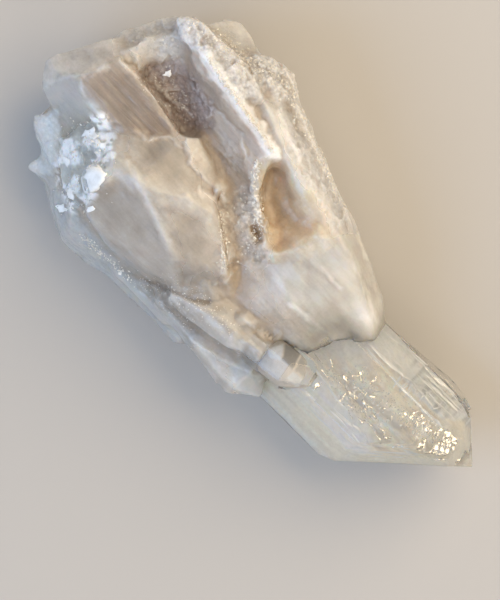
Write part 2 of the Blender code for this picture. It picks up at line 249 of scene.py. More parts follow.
# name: tint, frost, grit, clearness, growth lines, roundness, outline on the sheet
REGIONS = {
    "flank": ("rose", 0.5, 0.3, 0.3, 0.35, 1.0, [
        (60, 66), (67, 64), (72, 75.5), (84, 86), (80, 90), (70, 84), (60, 78), (55, 74)]),
    "shoulder": ("pale", 0.3, 0.05, 0.4, 0.3, 1.0, [
        (66, 63), (75, 61), (85, 58.5), (90, 56), (94, 67), (97.5, 81), (94, 87), (84, 86), (72, 76)]),
    # the shoulder's bright zone is a painted highlight
    "painted shoulder highlight": ("cream", 0.2, 0.1, 0.2, 0, 0.8, [
        (86, 78), (94, 76), (97, 82), (94, 88), (88, 88), (84, 84)]),
    "thumb left": ("greige", 0.3, 0.03, 0.35, 0.1, 1.0, [
        (23, 49), (28, 45), (36, 48), (40, 57), (43, 68), (40, 72), (32, 67), (25, 59)]),
    "thumb right": ("greige", 0.5, 0.2, 0.4, 0.3, 1.0, [
        (42, 52), (48, 54), (53, 62), (55, 72), (46, 74), (43, 66), (40.5, 57)]),
    "thumb lobe": ("greige", 0.35, 0.05, 0.5, 0.1, 1.0, [
        (35, 36), (41, 35), (46, 38), (49, 46), (44, 47), (38, 43)]),
    "thumb crest": ("slate", 0.4, 0.05, 0.4, 0, 1.0, [
        (27, 41), (31, 40), (38, 44.5), (47, 48), (55, 52), (55.5, 60), (51, 54), (46, 51), (36, 48)]),
    "thumb ridge": ("slate", 0.35, 0.05, 0.4, 0, 1.0, [
        (35.5, 46.5), (38, 47), (41.5, 56), (44, 66), (41.5, 66), (38.5, 57)]),
    "block": ("fawn", 0.3, 0.1, 0.5, 1.0, 0.15, [
        (20, 20), (24, 18), (30, 15), (34, 18), (40, 26), (45, 33), (38, 35), (30, 32.5), (25, 29.5)]),
    "block rim": ("slate", 0.35, 0.2, 0.25, 0.2, 0.4, [
        (10, 22), (11, 14), (14, 12.5), (29, 9), (30.5, 15), (24, 18), (15.5, 19)]),
    "block face": ("steel", 0.15, 0.1, 0.7, 0.1, 0.2, [
        (10, 22.5), (15.5, 19), (20, 19.5), (21, 24), (25, 29.5), (20, 36), (16, 35), (13, 27)]),
    "frosted end": ("grey", 0.8, 0.6, 0.2, 0, 0.5, [
        (29, 9), (38, 4.5), (46, 3.5), (46, 10), (45.5, 16.5), (37, 17), (32, 17.5), (30, 14)]),
    "plate": ("tan", 0.5, 0.2, 0.4, 0.7, 0.3, [
        (46, 12), (52, 15), (60, 27), (68, 38.5), (66, 41), (64, 50.5), (58, 49), (52, 40), (49, 28)]),
    "plate low": ("tan", 0.6, 0.5, 0.4, 0.8, 0.3, [
        (50, 33), (55, 36), (60.5, 38), (63.5, 50), (59, 50), (54, 44), (50, 38)]),
    "pocket": ("smoke", 0.5, 0.8, 0.3, 0.2, 0.3, [
        (33, 17.5), (36, 16), (44, 15.5), (49.5, 19), (54, 27), (52.5, 32.5), (48.5, 35.5), (44, 33),
        (40, 26)]),
    "ridge": ("crust", 0.9, 0.8, 0.1, 0, 0.2, [
        (44, 4), (51, 5.5), (60, 14), (65.5, 22), (66, 25.5), (60, 25.5), (52, 14.5), (46, 11.5)]),
    "north block": ("cream", 0.7, 0.3, 0.3, 0, 0.5, [
        (51.5, 6), (56, 4.5), (60.5, 5), (65, 12.5), (60, 13.5), (57, 12.5)]),
    "crest": ("crust", 0.9, 0.9, 0.1, 0, 0.1, [
        (62, 13.5), (69, 14.5), (75, 21), (76, 27), (70, 26), (65, 22)]),
    "fin": ("crust", 0.8, 0.6, 0.2, 0, 0.4, [
        (65.5, 24.5), (76, 26), (81, 38), (88, 52), (90, 58), (84, 58.5), (78, 52), (72, 43), (68, 33)]),
    "fin inside": ("pale", 0.2, 0.05, 0.4, 0, 0.9, [
        (66, 26), (69.5, 27), (71.5, 37), (76, 46), (82, 56), (77, 51), (72, 43), (68, 34)]),
    "groove": ("honey", 0.4, 0.2, 0.4, 0, 0.9, [
        (65.5, 41), (70, 41), (75, 47), (81, 57), (78, 60), (70, 64), (66.5, 62)]),
    "groove heart": ("ochre", 0.4, 0.4, 0.3, 0, 0.6, [
        (66, 42), (68.5, 42), (72, 52), (73, 60), (69, 63), (67, 61)]),
    "ragged": ("milk", 0.7, 0.8, 0.2, 0, 0.2, [
        (56, 48), (64.5, 46), (66, 54), (67.5, 61), (66, 65.5), (60, 66), (57, 58)]),
    "valley": ("fawn", 0.5, 0.4, 0.3, 0.2, 0.8, [
        (52, 48), (57, 48), (59, 60), (62, 68), (60, 76), (56.5, 76), (56, 66), (54.5, 54)]),
    "ochre": ("amber", 0.4, 0.2, 0.4, 0, 0.8, [
        (57, 67.5), (61, 67), (63, 71), (61, 75.5), (57.5, 75)]),
    "chipped": ("greige", 0.5, 0.3, 0.3, 0, 0.6, [
        (45, 33.5), (50.5, 34), (52, 40), (57, 47.5), (54.5, 48.8), (51, 44), (47, 41)]),
    "flakes": ("drift", 0.6, 0.35, 0.3, 0, 0, [
        (15, 34), (20, 31), (26, 29.5), (28, 35), (28, 44), (22, 50), (18, 52), (15, 46)]),
    "teeth": ("ice", 0.3, 0.5, 0.3, 0, 0, [
        (5, 41), (8, 28), (14, 28), (16, 34), (14, 42), (9, 45)]),
    "left wall": ("ice", 0.35, 0.4, 0.6, 0, 0.4, [
        (9, 44), (14, 43), (18, 50), (22, 56), (33, 68), (33, 71), (26, 70), (14, 62), (12, 52)]),
    "grit flank": ("mauve", 0.5, 0.6, 0.3, 0.4, 0.6, [
        (32, 68), (38, 70.5), (50, 76.5), (55, 80), (58, 86), (48, 83), (40, 77)]),
    "rider": ("slate", 0.2, 0.05, 0.4, 0.3, 1.0, [
        (46, 74), (52, 71), (64, 81.5), (76, 87), (80, 94), (76, 98), (69, 98), (60, 90), (50, 82)]),
    "lump": ("slate", 0.4, 0.2, 0.3, 0, 1.0, [
        (31, 12), (33, 11), (36, 12.5), (37, 16), (34, 17.5), (31.5, 15.5)]),
    "groove dark": ("umber", 0.4, 0.3, 0.3, 0, 0.8, [(68, 50), (72, 50), (73, 56), (69.5, 58), (67.5, 54)]),
    "hole": ("umber", 0.3, 0.6, 0.4, 0, 0.3, [(61.8, 57), (64.6, 55.5), (66, 58.7), (64.2, 62)]),
    "left tip": ("ice", 0.1, 0.05, 0.4, 0, 0, [(57, 92), (61, 90), (66, 94), (67, 100), (60, 98.5)]),
    "blade": ("ice", 0.3, 0.2, 0.6, 0.1, 0.2, [
        (27, 68), (33, 69), (48, 85), (44, 88), (38, 84), (29, 76)]),
}
print("regions:", len(REGIONS), "tints:", len(PALETTE))

# %% Tint and finish of a place
FROST, GRIT, CLEARNESS, GROWTH, ROUNDNESS = range(5)    # the columns of the finish
USUAL = [0.5, 0.3, 0.3, 0.1, 0.4]                       # where no region lies
CLEARER, CLEAREST = 1.3, 0.6                            # a factor for the root's clearness, and its limit


def strayed(points, broad, fine, seed):
    """Sheet places of points, shifted by broad and by fine noise: each is its reach and its size in
    millimetres."""
    east, south = sheet_of(points)
    east = east + broad[0] * waves(points, broad[1], seed) + fine[0] * waves(points, fine[1], seed + 1)
    south = south + broad[0] * waves(points, broad[1], seed + 2) + fine[0] * waves(points, fine[1], seed + 3)
    return east, south


def zones(points):
    """Tint and finish at each point: every region is laid over the last one with its soft share."""
    east, south = strayed(points, broad=(0.7, 3), fine=(0.3, 1.2), seed=1)
    tint = np.tile(PALETTE["milk"], (len(points), 1))
    finish = np.tile(USUAL, (len(points), 1))
    for colour, *values, outline in REGIONS.values():
        share = patch(east, south, outline, 1.2 + 3 * values[ROUNDNESS])[:, None]
        tint += share * (np.array(PALETTE[colour]) - tint)
        finish += share * (np.array(values) - finish)
    finish[:, CLEARNESS] = np.clip(finish[:, CLEARNESS] * CLEARER, 0, CLEAREST)
    return tint, finish


# %% [markdown]
# ## Crests, furrows and ledges
# The stone's character is in its lines: the white edge of a plate, the soft crest of the worn crystal, the
# dark gap below it. Each is a route on the sheet that lifts or lowers the skin that faces up; a crest is also
# whitened, partly as a white crust and partly as a painted highlight, and a furrow is darkened as painted
# shade.
# A crest is a tent, a furrow a crest upside down, and a ledge falls off slowly on its left side and fast on
# its right.

# %% Lines on the skin
# kind, half width, height in millimetres, whitening (on crests partly white crust, partly painted highlight;
# below nothing, on furrows, painted shade), route
LINES = [
    ("crest", 2.4, 1.2, 3.4, [(52, 15), (54, 18.5), (57.5, 23), (61, 28), (66, 34.5), (68.2, 38.6)]),
    ("crest", 3.6, 0.6, 0.08, [(28.5, 41), (34, 45), (38, 48), (47, 50), (54, 53.6)]),
    ("crest", 1.6, 0.35, 0.25, [
        (31.8, 41), (35.5, 46.2), (38.2, 53), (40.5, 57.2), (42, 60.5), (43.2, 65.5)]),
    ("crest", 1.2, 0.35, 0.35, [(50, 47.5), (54.5, 51), (56, 55), (56.4, 62.5), (55.6, 68.2)]),
    ("crest", 0.6, 0.3, 0.3, [(30, 15.5), (34, 18.5), (38.5, 24), (42.5, 28.3), (44.6, 33.2)]),
    ("crest", 0.8, 0.2, 0.25, [(10.8, 22), (13, 20.4), (16, 19), (23, 19), (26.3, 17.5)]),
    ("crest", 0.9, 0.2, 0.2, [(20.2, 20.2), (21.2, 25), (25.2, 29), (29.5, 31.8), (37.8, 35)]),
    ("crest", 0.7, 0.2, 0.2, [(37.8, 35), (42, 34.7), (45.3, 37)]),
    ("crest", 1.1, 0.5, 0.45, [(72.2, 76), (77, 79.5), (83.8, 85.5)]),
    ("crest", 0.9, 0.2, 0.25, [(77.7, 64.7), (85.2, 72.2)]),
    ("crest", 0.9, 0.4, 0.35, [(88, 63.5), (92.5, 75.5), (94.5, 81)]),
    ("crest", 1.0, 0.4, 0.3, [(69.7, 27.8), (72.7, 35.5), (76.2, 42.5), (79.2, 49), (85.7, 56.7)]),
    ("crest", 0.9, 0.4, 0.35, [(73.5, 24.8), (77, 33), (81.7, 42.5), (87, 52), (91.7, 64.5)]),
    ("furrow", 1.2, 0.9, -0.5, [(71.7, 26), (73.5, 31), (75.2, 36.7)]),
    ("furrow", 0.9, 1.2, -0.4, [(52, 6.5), (55.5, 10), (58.7, 13), (63.2, 19)]),
    ("furrow", 0.7, 0.5, -0.3, [(47.5, 20), (54.5, 27.7), (60.5, 33.7)]),
    ("crest", 0.8, 0.4, 0.35, [(60.5, 34.7), (61, 40.2), (63.2, 46.7), (64.5, 50.7)]),
    ("crest", 0.9, 0.2, 0.25, [(65.5, 39), (63.4, 45), (64.5, 50), (64.5, 55.5)]),
    ("crest", 3.4, 1.9, 0, [(60.5, 84.8), (62.5, 86.4), (64.5, 87.8)]),
    ("crest", 3.0, 1.5, 0, [(61.5, 80.0), (64.5, 82.6), (68, 85.4)]),
    ("furrow", 0.9, 1.0, -0.6, [(33.2, 68.2), (40, 71.5), (48.7, 75.2), (52, 75.7)]),
    ("furrow", 0.8, 0.6, -0.4, [(34.5, 72), (41, 78), (46.5, 84.5)]),
    ("furrow", 0.6, 0.7, -0.6, [(31.5, 15.5), (35.7, 18), (40, 23.6), (43.8, 28.2), (46, 33.6)]),
    ("furrow", 1.5, 1.8, -0.2, [(63.4, 57), (64.4, 60.2)]),
    ("crest", 2.4, 0.9, 0, [(33.2, 13), (35, 15.2)]),
    ("crest", 0.8, 0.8, 0.8, [(13.4, 41.4), (16.2, 37.2), (19.6, 35.9)]),
    ("crest", 0.6, 0.5, 0.6, [(14.9, 34.6), (16.2, 36.7)]),
    ("crest", 2.6, 1.2, 0, [(55.5, 48), (57.6, 56), (58, 64), (57, 72)]),
    ("crest", 2.4, 2.5, 0, [(55.2, 46.8), (56, 50)]),
    ("crest", 2.0, 2.0, 0, [(57, 62.5), (57.4, 65)]),
    ("crest", 2.8, 1.6, 0, [(48.5, 71.3), (53.5, 73)]),
    ("crest", 5.0, 2.0, 0, [(66, 61), (71, 61.5), (79, 59)]),
    ("crest", 0.7, 0.3, 0.35, [(47, 84.5), (55, 89.6), (64.5, 94.5), (69.5, 97.6)]),
    ("crest", 1.4, 0.2, 0.5, [(52.5, 80.5), (60.5, 87.5)]),
    ("ledge", 1.4, 0.5, 0.15, [(52.2, 40.5), (57, 47), (55, 48.6), (51.5, 44.5), (47.5, 41.5), (46.5, 36)]),
]
LEDGE_LEFT, LEDGE_RIGHT = 0.35, 1.5      # how much a ledge's sides shorten or lengthen the distance to it
print("lines on the skin:", len(LINES))


def drawn_lines(points):
    """Height in millimetres and whitening at each point; above nothing partly painted highlight, below it
    painted shade.
    """
    east, south = strayed(points, broad=(0.35, 2.2), fine=(0.15, 0.9), seed=5)
    height, white = np.zeros(len(points)), np.zeros(len(points))
    along = 0.75 + 0.35 * waves(points, 4, 9)
    for kind, width, rise, whitening, route in LINES:
        distance, side = beside(east, south, route)
        if kind == "ledge":
            distance = distance * np.where(side > 0, LEDGE_LEFT, LEDGE_RIGHT)
        shape = np.clip(1 - distance / width, 0, 1)
        height += (-rise if kind == "furrow" else rise) * shape * along
        white += whitening * np.clip(1.5 * shape, 0, 1) ** 1.5 * along
    return height, np.clip(white, -1, 1)


# %% [markdown]
# ## Two stones out of one
# The large crystal is clear and its root is milky, and a clear crystal has to be a closed solid with plain
# values to be seen through truly. So the solid is divided along the large crystal's own six faces: the front
# becomes the clear point, the rest the milky root, and the root's wall stands inside the point's back end,
# where it is seen through the clear quartz as the cloud that the crystal grows out of. The small crystal that
# rides on the large one is divided in the same way.

# %% A copy of the solid, merged
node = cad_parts["quartz_cluster"]


def merged_copy(source):
    """A copy of a solid's loose triangles with the doubled corners made one."""
    bm = bmesh.new()
    bm.from_mesh(source)
    bmesh.ops.remove_doubles(bm, verts=bm.verts, dist=1e-6)
    mesh = bpy.data.meshes.new("merged")
    bm.to_mesh(mesh)
    bm.free()
    return mesh


def new_piece(name, mesh):
    """An object at the origin for a finished mesh."""
    piece = bpy.data.objects.new(name, mesh)
    bpy.context.scene.collection.objects.link(piece)
    return piece


def smooth(mesh):
    """Shades a mesh as one curved surface."""
    mesh.polygons.foreach_set("use_smooth", np.ones(len(mesh.polygons), bool))


def finished(piece):
    """The mesh of an object with its modifiers applied."""
    view = bpy.context.evaluated_depsgraph_get()
    mesh = bpy.data.meshes.new_from_object(piece.evaluated_get(view))
    piece.modifiers.clear()
    old, piece.data = piece.data, mesh
    bpy.data.meshes.remove(old)
    return mesh


solid = merged_copy(node.data)
print("solid:", len(solid.vertices), "corners")

# %% The two clear crystals
SKIN = 0.15 * MM                 # how far a crystal's space stands off its faces
FRONT = 34.0 * MM                # past this, along X, there is nothing but the large crystal
# axis from start to end, millimetres from it to a side, turn of the first side from the top, sides' shares
CRYSTALS = {
    "large": dict(start=on_sheet(46.0, 55.0, 15.5), end=on_sheet(113.45, 122.55, 15.5), apothem=15.5,
                  roll=0, sides=(1, 1, 1, 1, 1, 1)),
    "rider": dict(start=on_sheet(50.8, 75.7, 23.6), end=on_sheet(77.6, 96.7, 33.2), apothem=4.9,
                  roll=14, sides=(1, 1, 0.92, 1, 1.05, 1)),
}


def six_sides(start, end, apothem, roll, sides):
    """The axis, and for each side its outward direction and its distance from the axis in metres."""
    axis = (end - start).normalized()
    across = axis.cross(Vector((0, 0, 1))).normalized()
    up = across.cross(axis)
    turns = [np.radians(roll + 60 * k) for k in range(6)]
    return axis, [up * np.cos(t) + across * np.sin(t) for t in turns], [apothem * s * MM for s in sides]


def distance_along(crystal, points):
    """Millimetres along a crystal's axis, from its start."""
    start, end = (np.array(CRYSTALS[crystal][k]) for k in ("start", "end"))
    return (points - start) @ unit(end - start) / MM


def outside(crystal, points):
    """Metres by which points stand outside a crystal's sides, and the outward direction of the nearest."""
    axis, outs, far = six_sides(**CRYSTALS[crystal])
    outs = np.array(outs)
    reach = (points - np.array(CRYSTALS[crystal]["start"])) @ outs.T - np.array(far) - SKIN
    return reach.max(1), outs[reach.argmax(1)]


# %% Spaces to cut with


def bar(name, crystal, back):
    """A crystal's space from a distance along its axis on: a large cube cut by its six sides and its back."""
    axis, outs, far = six_sides(**CRYSTALS[crystal])
    start = CRYSTALS[crystal]["start"]
    bm = bmesh.new()
    bmesh.ops.create_cube(bm, size=0.4, matrix=Matrix.Translation(start))
    planes = [(start + out * (reach + SKIN), out) for out, reach in zip(outs, far)]
    planes.append((start + axis * back, -axis))
    for place, normal in planes:
        everything = bm.verts[:] + bm.edges[:] + bm.faces[:]
        cut = bmesh.ops.bisect_plane(bm, geom=everything, plane_co=place, plane_no=normal, clear_outer=True)
        rim = [g for g in cut["geom_cut"] if isinstance(g, bmesh.types.BMEdge)]
        bmesh.ops.contextual_create(bm, geom=rim)
    bmesh.ops.recalc_face_normals(bm, faces=bm.faces)
    mesh = bpy.data.meshes.new(name)
    bm.to_mesh(mesh)
    bm.free()
    return new_piece(name, mesh)


def cut_with(piece, operation, tool):
    """Applies a Boolean to a piece with a tool, which is used up."""
    cut = piece.modifiers.new("cut", "BOOLEAN")
    cut.operation, cut.object = operation, tool
    finished(piece)
    bpy.data.objects.remove(tool)


def large_space(name, back):
    """The large crystal's space: its six-sided bar, joined with a block past the front."""
    space = bar(name, "large", back)
    block = 100 * MM
    bm = bmesh.new()
    bmesh.ops.create_cube(bm, size=block, matrix=Matrix.Translation((FRONT + block / 2, 0, 20 * MM)))
    mesh = bpy.data.meshes.new(name + "_front")
    bm.to_mesh(mesh)
    bm.free()
    cut_with(space, "UNION", new_piece(name + "_front", mesh))
    return space


# %% Divide the stone
BACKS = {"large": 34 * MM, "rider": 17 * MM}     # along the axis: where the glass ends
WALLS = {"large": 43 * MM, "rider": 22 * MM}     # and where the root's wall stands inside it

both = large_space("space", BACKS["large"])
cut_with(both, "UNION", bar("rider_space", "rider", BACKS["rider"]))
point = new_piece("clear_point", solid.copy())
cut_with(point, "INTERSECT", both)
root = new_piece("milky_root", solid.copy())
cut_with(root, "DIFFERENCE", large_space("space", WALLS["large"]))
cut_with(root, "DIFFERENCE", bar("space", "rider", WALLS["rider"]))
for piece in (point, root):
    print(piece.name, len(piece.data.polygons), "faces")

# %% [markdown]
# ## Fine surface
# The solids have sharp, flat faces. A real stone has slightly worn edges, growth steps a tenth of a
# millimetre high, ripples where it broke, and crusts. A voxel remesh gives an even net with points close
# enough to carry that relief, the points are moved by noise, and a decimation spares the flat faces the net
# that they don't need.

# %% Remesh, read and write points
MOST_FACES = 190_000


def remeshed(piece, grain):
    """A piece's mesh made anew as an even net of small squares."""
    net = piece.modifiers.new("net", "REMESH")
    net.mode, net.voxel_size = "VOXEL", grain
    return finished(piece)


def places(mesh):
    """The mesh's points and their normals, as two arrays."""
    points, normals = np.empty(len(mesh.vertices) * 3), np.empty(len(mesh.vertices) * 3)
    mesh.vertices.foreach_get("co", points)
    mesh.vertices.foreach_get("normal", normals)
    return points.reshape(-1, 3), normals.reshape(-1, 3)


def thinned(piece, most=MOST_FACES):
    """Fewer triangles where the surface is flat."""
    faces = sum(len(p.vertices) - 2 for p in piece.data.polygons)
    if faces > most:
        fewer = piece.modifiers.new("fewer", "DECIMATE")
        fewer.ratio = most / faces
        finished(piece)
    print(piece.name, "faces:", faces, "->", sum(len(p.vertices) - 2 for p in piece.data.polygons))


# %% Means over neighbours
WORN = 0.05                      # millimetres that a point may stand out before it counts as an edge


def neighbours(mesh):
    """The two ends of each edge, and how many edges each point has."""
    ends = np.empty(len(mesh.edges) * 2, np.int32)
    mesh.edges.foreach_get("vertices", ends)
    ends = ends.reshape(-1, 2)
    return ends, np.bincount(ends.ravel(), minlength=len(mesh.vertices))


def averaged(values, ends, count):
    """Each point's mean over its neighbours, one column at a time."""
    columns = values.reshape(len(count), -1)
    total = np.empty_like(columns)
    for a in range(columns.shape[1]):
        total[:, a] = np.bincount(ends[:, 0], columns[ends[:, 1], a], len(count))
        total[:, a] += np.bincount(ends[:, 1], columns[ends[:, 0], a], len(count))
    return (total / count[:, None]).reshape(values.shape)


def bulge(mesh, points, normals, rounds=3):
    """Millimetres that each point stands out of its neighbourhood, along its normal: the more rounds, the
    wider the neighbourhood."""
    ends, count = neighbours(mesh)
    mean = points
    for _ in range(rounds):
        mean = averaged(mean, ends, count)
    return np.clip(((points - mean) * normals).sum(1) / MM, -0.5, 0.5)


def moved(mesh, points):
    """Gives a mesh's points new places."""
    mesh.vertices.foreach_set("co", points.ravel())
    mesh.update()


def closed_up(piece, reach, grain):
    """Fills cracks narrower than twice the reach: the skin goes out by it, is netted anew and goes back."""
    for way in (1, -1):
        points, normals = places(piece.data)
        moved(piece.data, points + way * reach * normals)
        if way == 1:
            remeshed(piece, grain)


# %% Net both stones
POINT_GRAIN = 0.3 * MM
ROOT_GRAIN, FIRST_ROOT_GRAIN = 0.42 * MM, 0.6 * MM
CRACK = 1.3 * MM                 # half the width of the cracks that are filled

remeshed(point, POINT_GRAIN)
remeshed(root, FIRST_ROOT_GRAIN)
closed_up(root, CRACK, ROOT_GRAIN)
print("net of the point:", len(point.data.vertices), "net of the root:", len(root.data.vertices))

# %% [markdown]
# ## Relief of the root
# Three kinds of relief make the root look grown and broken. Facets, where each shard of stone is tilted its
# own way, show where it snapped off its bed. Fine knobs make the crust. Long shallow lines run along the
# blocks, where one growth layer stopped over another. How much of each a place has comes from its region.

# %% Kinds of relief
LINE_WAY = np.radians(53)        # the direction of the growth lines on the sheet, from east towards south


def along_lines(points, way=LINE_WAY, stretch=16):
    """Points whose distances along the lines are shortened, so that noise on them is drawn out into lines."""
    east, south = sheet_of(points)
    u = east * np.sin(way) - south * np.cos(way)
    v = east * np.cos(way) + south * np.sin(way)
    return np.stack([u, v / stretch, points[:, 2] / MM * 0.3], 1) * MM


def facets(points, size, seed, slope):
    """Millimetres of relief from tilted shards: each shard's own vector times the offset from its middle."""
    number, vector, offset, _ = shards(points, size, seed)
    return (vector * offset).sum(1) / MM * slope + (number - 0.5) * size * slope


def snow(points):
    """Shares from 0 to 1 of the thin white plates among the flakes: about half of the shards there."""
    share = patch(*sheet_of(points), REGIONS["flakes"][-1], 5)
    number, _, _, border = shards(points + 0.6 * MM * waves(points, 1.2, 53)[:, None], 4.0, 54)
    return ramp_up(share, 0.2, 0.5) * (number > 0.5) * ramp_up(border, 0.03, 0.3)


def root_relief(points, normals, finish):
    """Millimetres to move each point along its normal: swell, facets, knobs and lines by their shares."""
    grit, growth = finish[:, GRIT], finish[:, GROWTH]
    below = np.clip(-normals[:, 2] * 2, 0, 1)
    rough = np.clip(grit * grit + 0.6 * below, 0, 1)
    height = 0.25 * waves(points, 12, 20) + 0.10 * waves(points, 4, 21)
    height += (0.03 + rough) * facets(points, 5.0, 22, 0.15)
    height += rough * facets(points, 2.1, 23, 0.15)
    height += 0.16 * grit * waves(points, 0.9, 24, 2) + 0.12 * snow(points)
    drawn = along_lines(points)
    return height + growth * (0.16 * waves(drawn, 2.2, 25) + 0.07 * waves(drawn, 0.9, 26))


# %% Round the root, and set it back beside the glass
ROUNDS = 36                      # how often each point moves towards its neighbours' middle
SET_BACK = {"large": 1.4, "rider": 0.8}    # millimetres from a side within which the root draws back


def beside_glass(crystal, points):
    """Whether points lie as far along a crystal's axis as its glass reaches back, and a millimetre more."""
    return distance_along(crystal, points) > BACKS[crystal] / MM - 1


def rounded(mesh, points, finish):
    """Points moved towards their neighbours' middle, round after round, by their region's roundness. Beside
    the clear crystals they stay, so that the glass keeps its edges."""
    ends, count = neighbours(mesh)
    share = 0.10 + 0.85 * finish[:, ROUNDNESS:]
    for crystal in CRYSTALS:
        near = ramp_up(np.abs(outside(crystal, points)[0]) / MM, 0.5, 2.5)
        share *= np.where(beside_glass(crystal, points), near, 1)[:, None]
    for _ in range(ROUNDS):
        points = points + share * 0.7 * (averaged(points, ends, count) - points)
    return points


def set_back(points):
    """Points near a clear crystal's sides moved inwards by up to 0.4 of the reach, so that the root's skin
    and the glass never lie in one plane."""
    for crystal, reach in SET_BACK.items():
        distance, out = outside(crystal, points)
        near = np.clip(1 - np.abs(distance) / (reach * MM), 0, 1) * (points[:, 0] < FRONT + 2 * MM)
        near *= beside_glass(crystal, points)
        points = points - out * (near * 0.4 * reach * MM)[:, None]
    return points


# %% Move the root's points
GROUND = 0.3 * MM                # up to this height the stone keeps the flat facets that it rests on

points, normals = places(root.data)
tint, finish = zones(points)
moved(root.data, rounded(root.data, points, finish))
points, normals = places(root.data)
height = root_relief(points, normals, finish)
lift, _ = drawn_lines(points)
points[:, 2] += lift * np.clip(normals[:, 2] * 1.5, 0, 1) * MM
edge = np.clip(bulge(root.data, points, normals, 4) - WORN, 0, 1)
height -= 1.3 * edge * (0.6 + 0.6 * waves(points, 2.5, 30))
height[points[:, 2] < cad_low[2] + GROUND] = 0
points = set_back(points + normals * height[:, None] * MM)
points[:, 2] = np.maximum(points[:, 2], cad_low[2])
moved(root.data, points)
thinned(root)
smooth(root.data)

# %% Move the clear crystals' points
points, normals = places(point.data)
edge = np.clip(bulge(point.data, points, normals) - WORN, 0, 1)
large = np.clip(-outside("large", points)[0] / MM + 1.5, 0.25, 1)
height = 0.05 * waves(points, 9, 40) + 0.02 * waves(points, 2.5, 41)
steps = waves(points * np.array([1, 0.12, 0.12]), 2.0, 42, 2)
height += 0.05 * np.tanh(3 * steps) * np.clip(normals[:, 1] * 3, 0.2, 1)
height -= 0.5 * edge
height[points[:, 2] < cad_low[2] + GROUND] = 0
points = points + normals * (height * large)[:, None] * MM
points[:, 2] = np.maximum(points[:, 2], cad_low[2])
moved(point.data, points)
thinned(point)
smooth(point.data)

# %% Tint and finish attributes


def painted(mesh, name, colours):
    """A colour for each point, as an attribute that a material can read."""
    layer = mesh.color_attributes.new(name, "FLOAT_COLOR", "POINT")
    layer.data.foreach_set("color", colours.astype(np.float32).ravel())


def with_form_light_and_shade(tint, points, normals):
    """Painted light and shade by form: edges whiter, pits darker and warmer, broad swells lighter, hollows
    darker.
    """
    stands_out = bulge(root.data, points, normals)[:, None]
    # edges that stand out are whiter: partly wear, partly a painted highlight
    tint = tint + np.clip(stands_out * 5 - 0.1, 0, 1) * 0.4 * (SNOW - tint)
    # pits darker and warmer: painted shade
    tint *= 1 - np.clip(-stands_out * 5 - 0.1, 0, 1) * np.array([0.06, 0.10, 0.14])
    # broad swells lighter as painted light, hollows darker as painted shade
    swell = np.clip(bulge(root.data, points, normals, 60) * 2.5, -1, 1)[:, None]
    tint *= 1 + np.clip(swell, 0, 1) * 0.16 + np.clip(swell, -1, 0) * np.array([0.06, 0.10, 0.15])
    return tint


def with_line_light_and_shade(tint, finish, points, normals):
    """Lines on the skin: crests whiter, partly as painted highlight, and less clear; furrows darker as
    painted shade.
    """
    _, white = drawn_lines(points)
    white *= np.clip(normals[:, 2] * 3 + 0.3, 0, 1)
    # crests whiter: partly a white crust, partly a painted highlight
    tint = tint + np.clip(white, 0, 1)[:, None] * 0.7 * (SNOW - tint)
    # furrows darker: painted shade
    tint *= 1 + np.clip(white, -1, 0)[:, None] * np.array([0.35, 0.42, 0.5])
    finish[:, CLEARNESS] *= 1 - np.clip(white, 0, 1) * 0.8
    return tint


def with_snow(tint, finish, points):
    """Tint and finish of the thin white plates."""
    tint = tint + 0.9 * snow(points)[:, None] * (SNOW - tint)
    finish[:, CLEARNESS] *= 1 - snow(points)
    return tint


# the shoulder's front: its outline, and the tint, clearness and frost that it fades to
FRONT_OUTLINE = [(72, 68), (86, 54), (100, 74), (98, 92), (82, 96), (74, 86)]
FRONT_TINT, FRONT_CLEARNESS, FRONT_FROST = np.array((0.86, 0.82, 0.74)), 0.9, 0.12


def with_clear_front(tint, finish, points):
    """Tint and finish of the shoulder's front, which turns clear towards the large crystal: along the axis,
    and near its sides."""
    front = ramp_up(distance_along("large", points), 30, 44)
    front *= 1 - ramp_up(outside("large", points)[0] / MM, 1, 7)
    front *= patch(*sheet_of(points), FRONT_OUTLINE, 5)
    finish[:, CLEARNESS] += 0.95 * front * (FRONT_CLEARNESS - finish[:, CLEARNESS])
    finish[:, FROST] += 0.95 * front * (FRONT_FROST - finish[:, FROST])
    return tint + 0.6 * front[:, None] * (FRONT_TINT - tint)


def with_mottle(tint, points, normals):
    """Tint with cloudy blotches, and with fibres along the growth lines where the skin faces up."""
    tint = tint * (1 + 0.07 * waves(points, 5, 50, 2)[:, None])
    fibres = np.clip(waves(along_lines(points, stretch=10), 0.9, 51, 2), -1, 1)
    return tint * (1 + 0.07 * (fibres * np.clip(normals[:, 2] + 0.3, 0.2, 1))[:, None])


def opaque(tint, brightest=1.0):
    """Tints with a fourth number, 1, and none brighter than the brightest."""
    return np.clip(np.hstack([tint, np.ones((len(tint), 1))]), 0, brightest)


# %% Paint the root
points, normals = places(root.data)
tint, finish = zones(points)
tint = with_form_light_and_shade(tint, points, normals)
tint = with_line_light_and_shade(tint, finish, points, normals)
tint = with_snow(tint, finish, points)
tint = with_clear_front(tint, finish, points)
painted(root.data, "tint", opaque(with_mottle(tint, points, normals)))
painted(root.data, "finish", np.clip(finish[:, :ROUNDNESS], 0, 1))
print("mean tint of the root:", tint.mean(0).round(2))

# %% [markdown]
# ## The clouds inside the glass
# Clear quartz is rarely clear down to its bed. A cloud of fine bubbles fills each clear crystal from its root
# on, and it is what makes the crystal pale rather than black. It repeats the crystal's six sides a little way
# under its faces, as an earlier stage of its growth, sinks deep under the top face towards the tip and ends
# before it. Rings are carried along the axis and clamped inside the glass, whatever the faces at the tip do.

# %% Rings inside a crystal


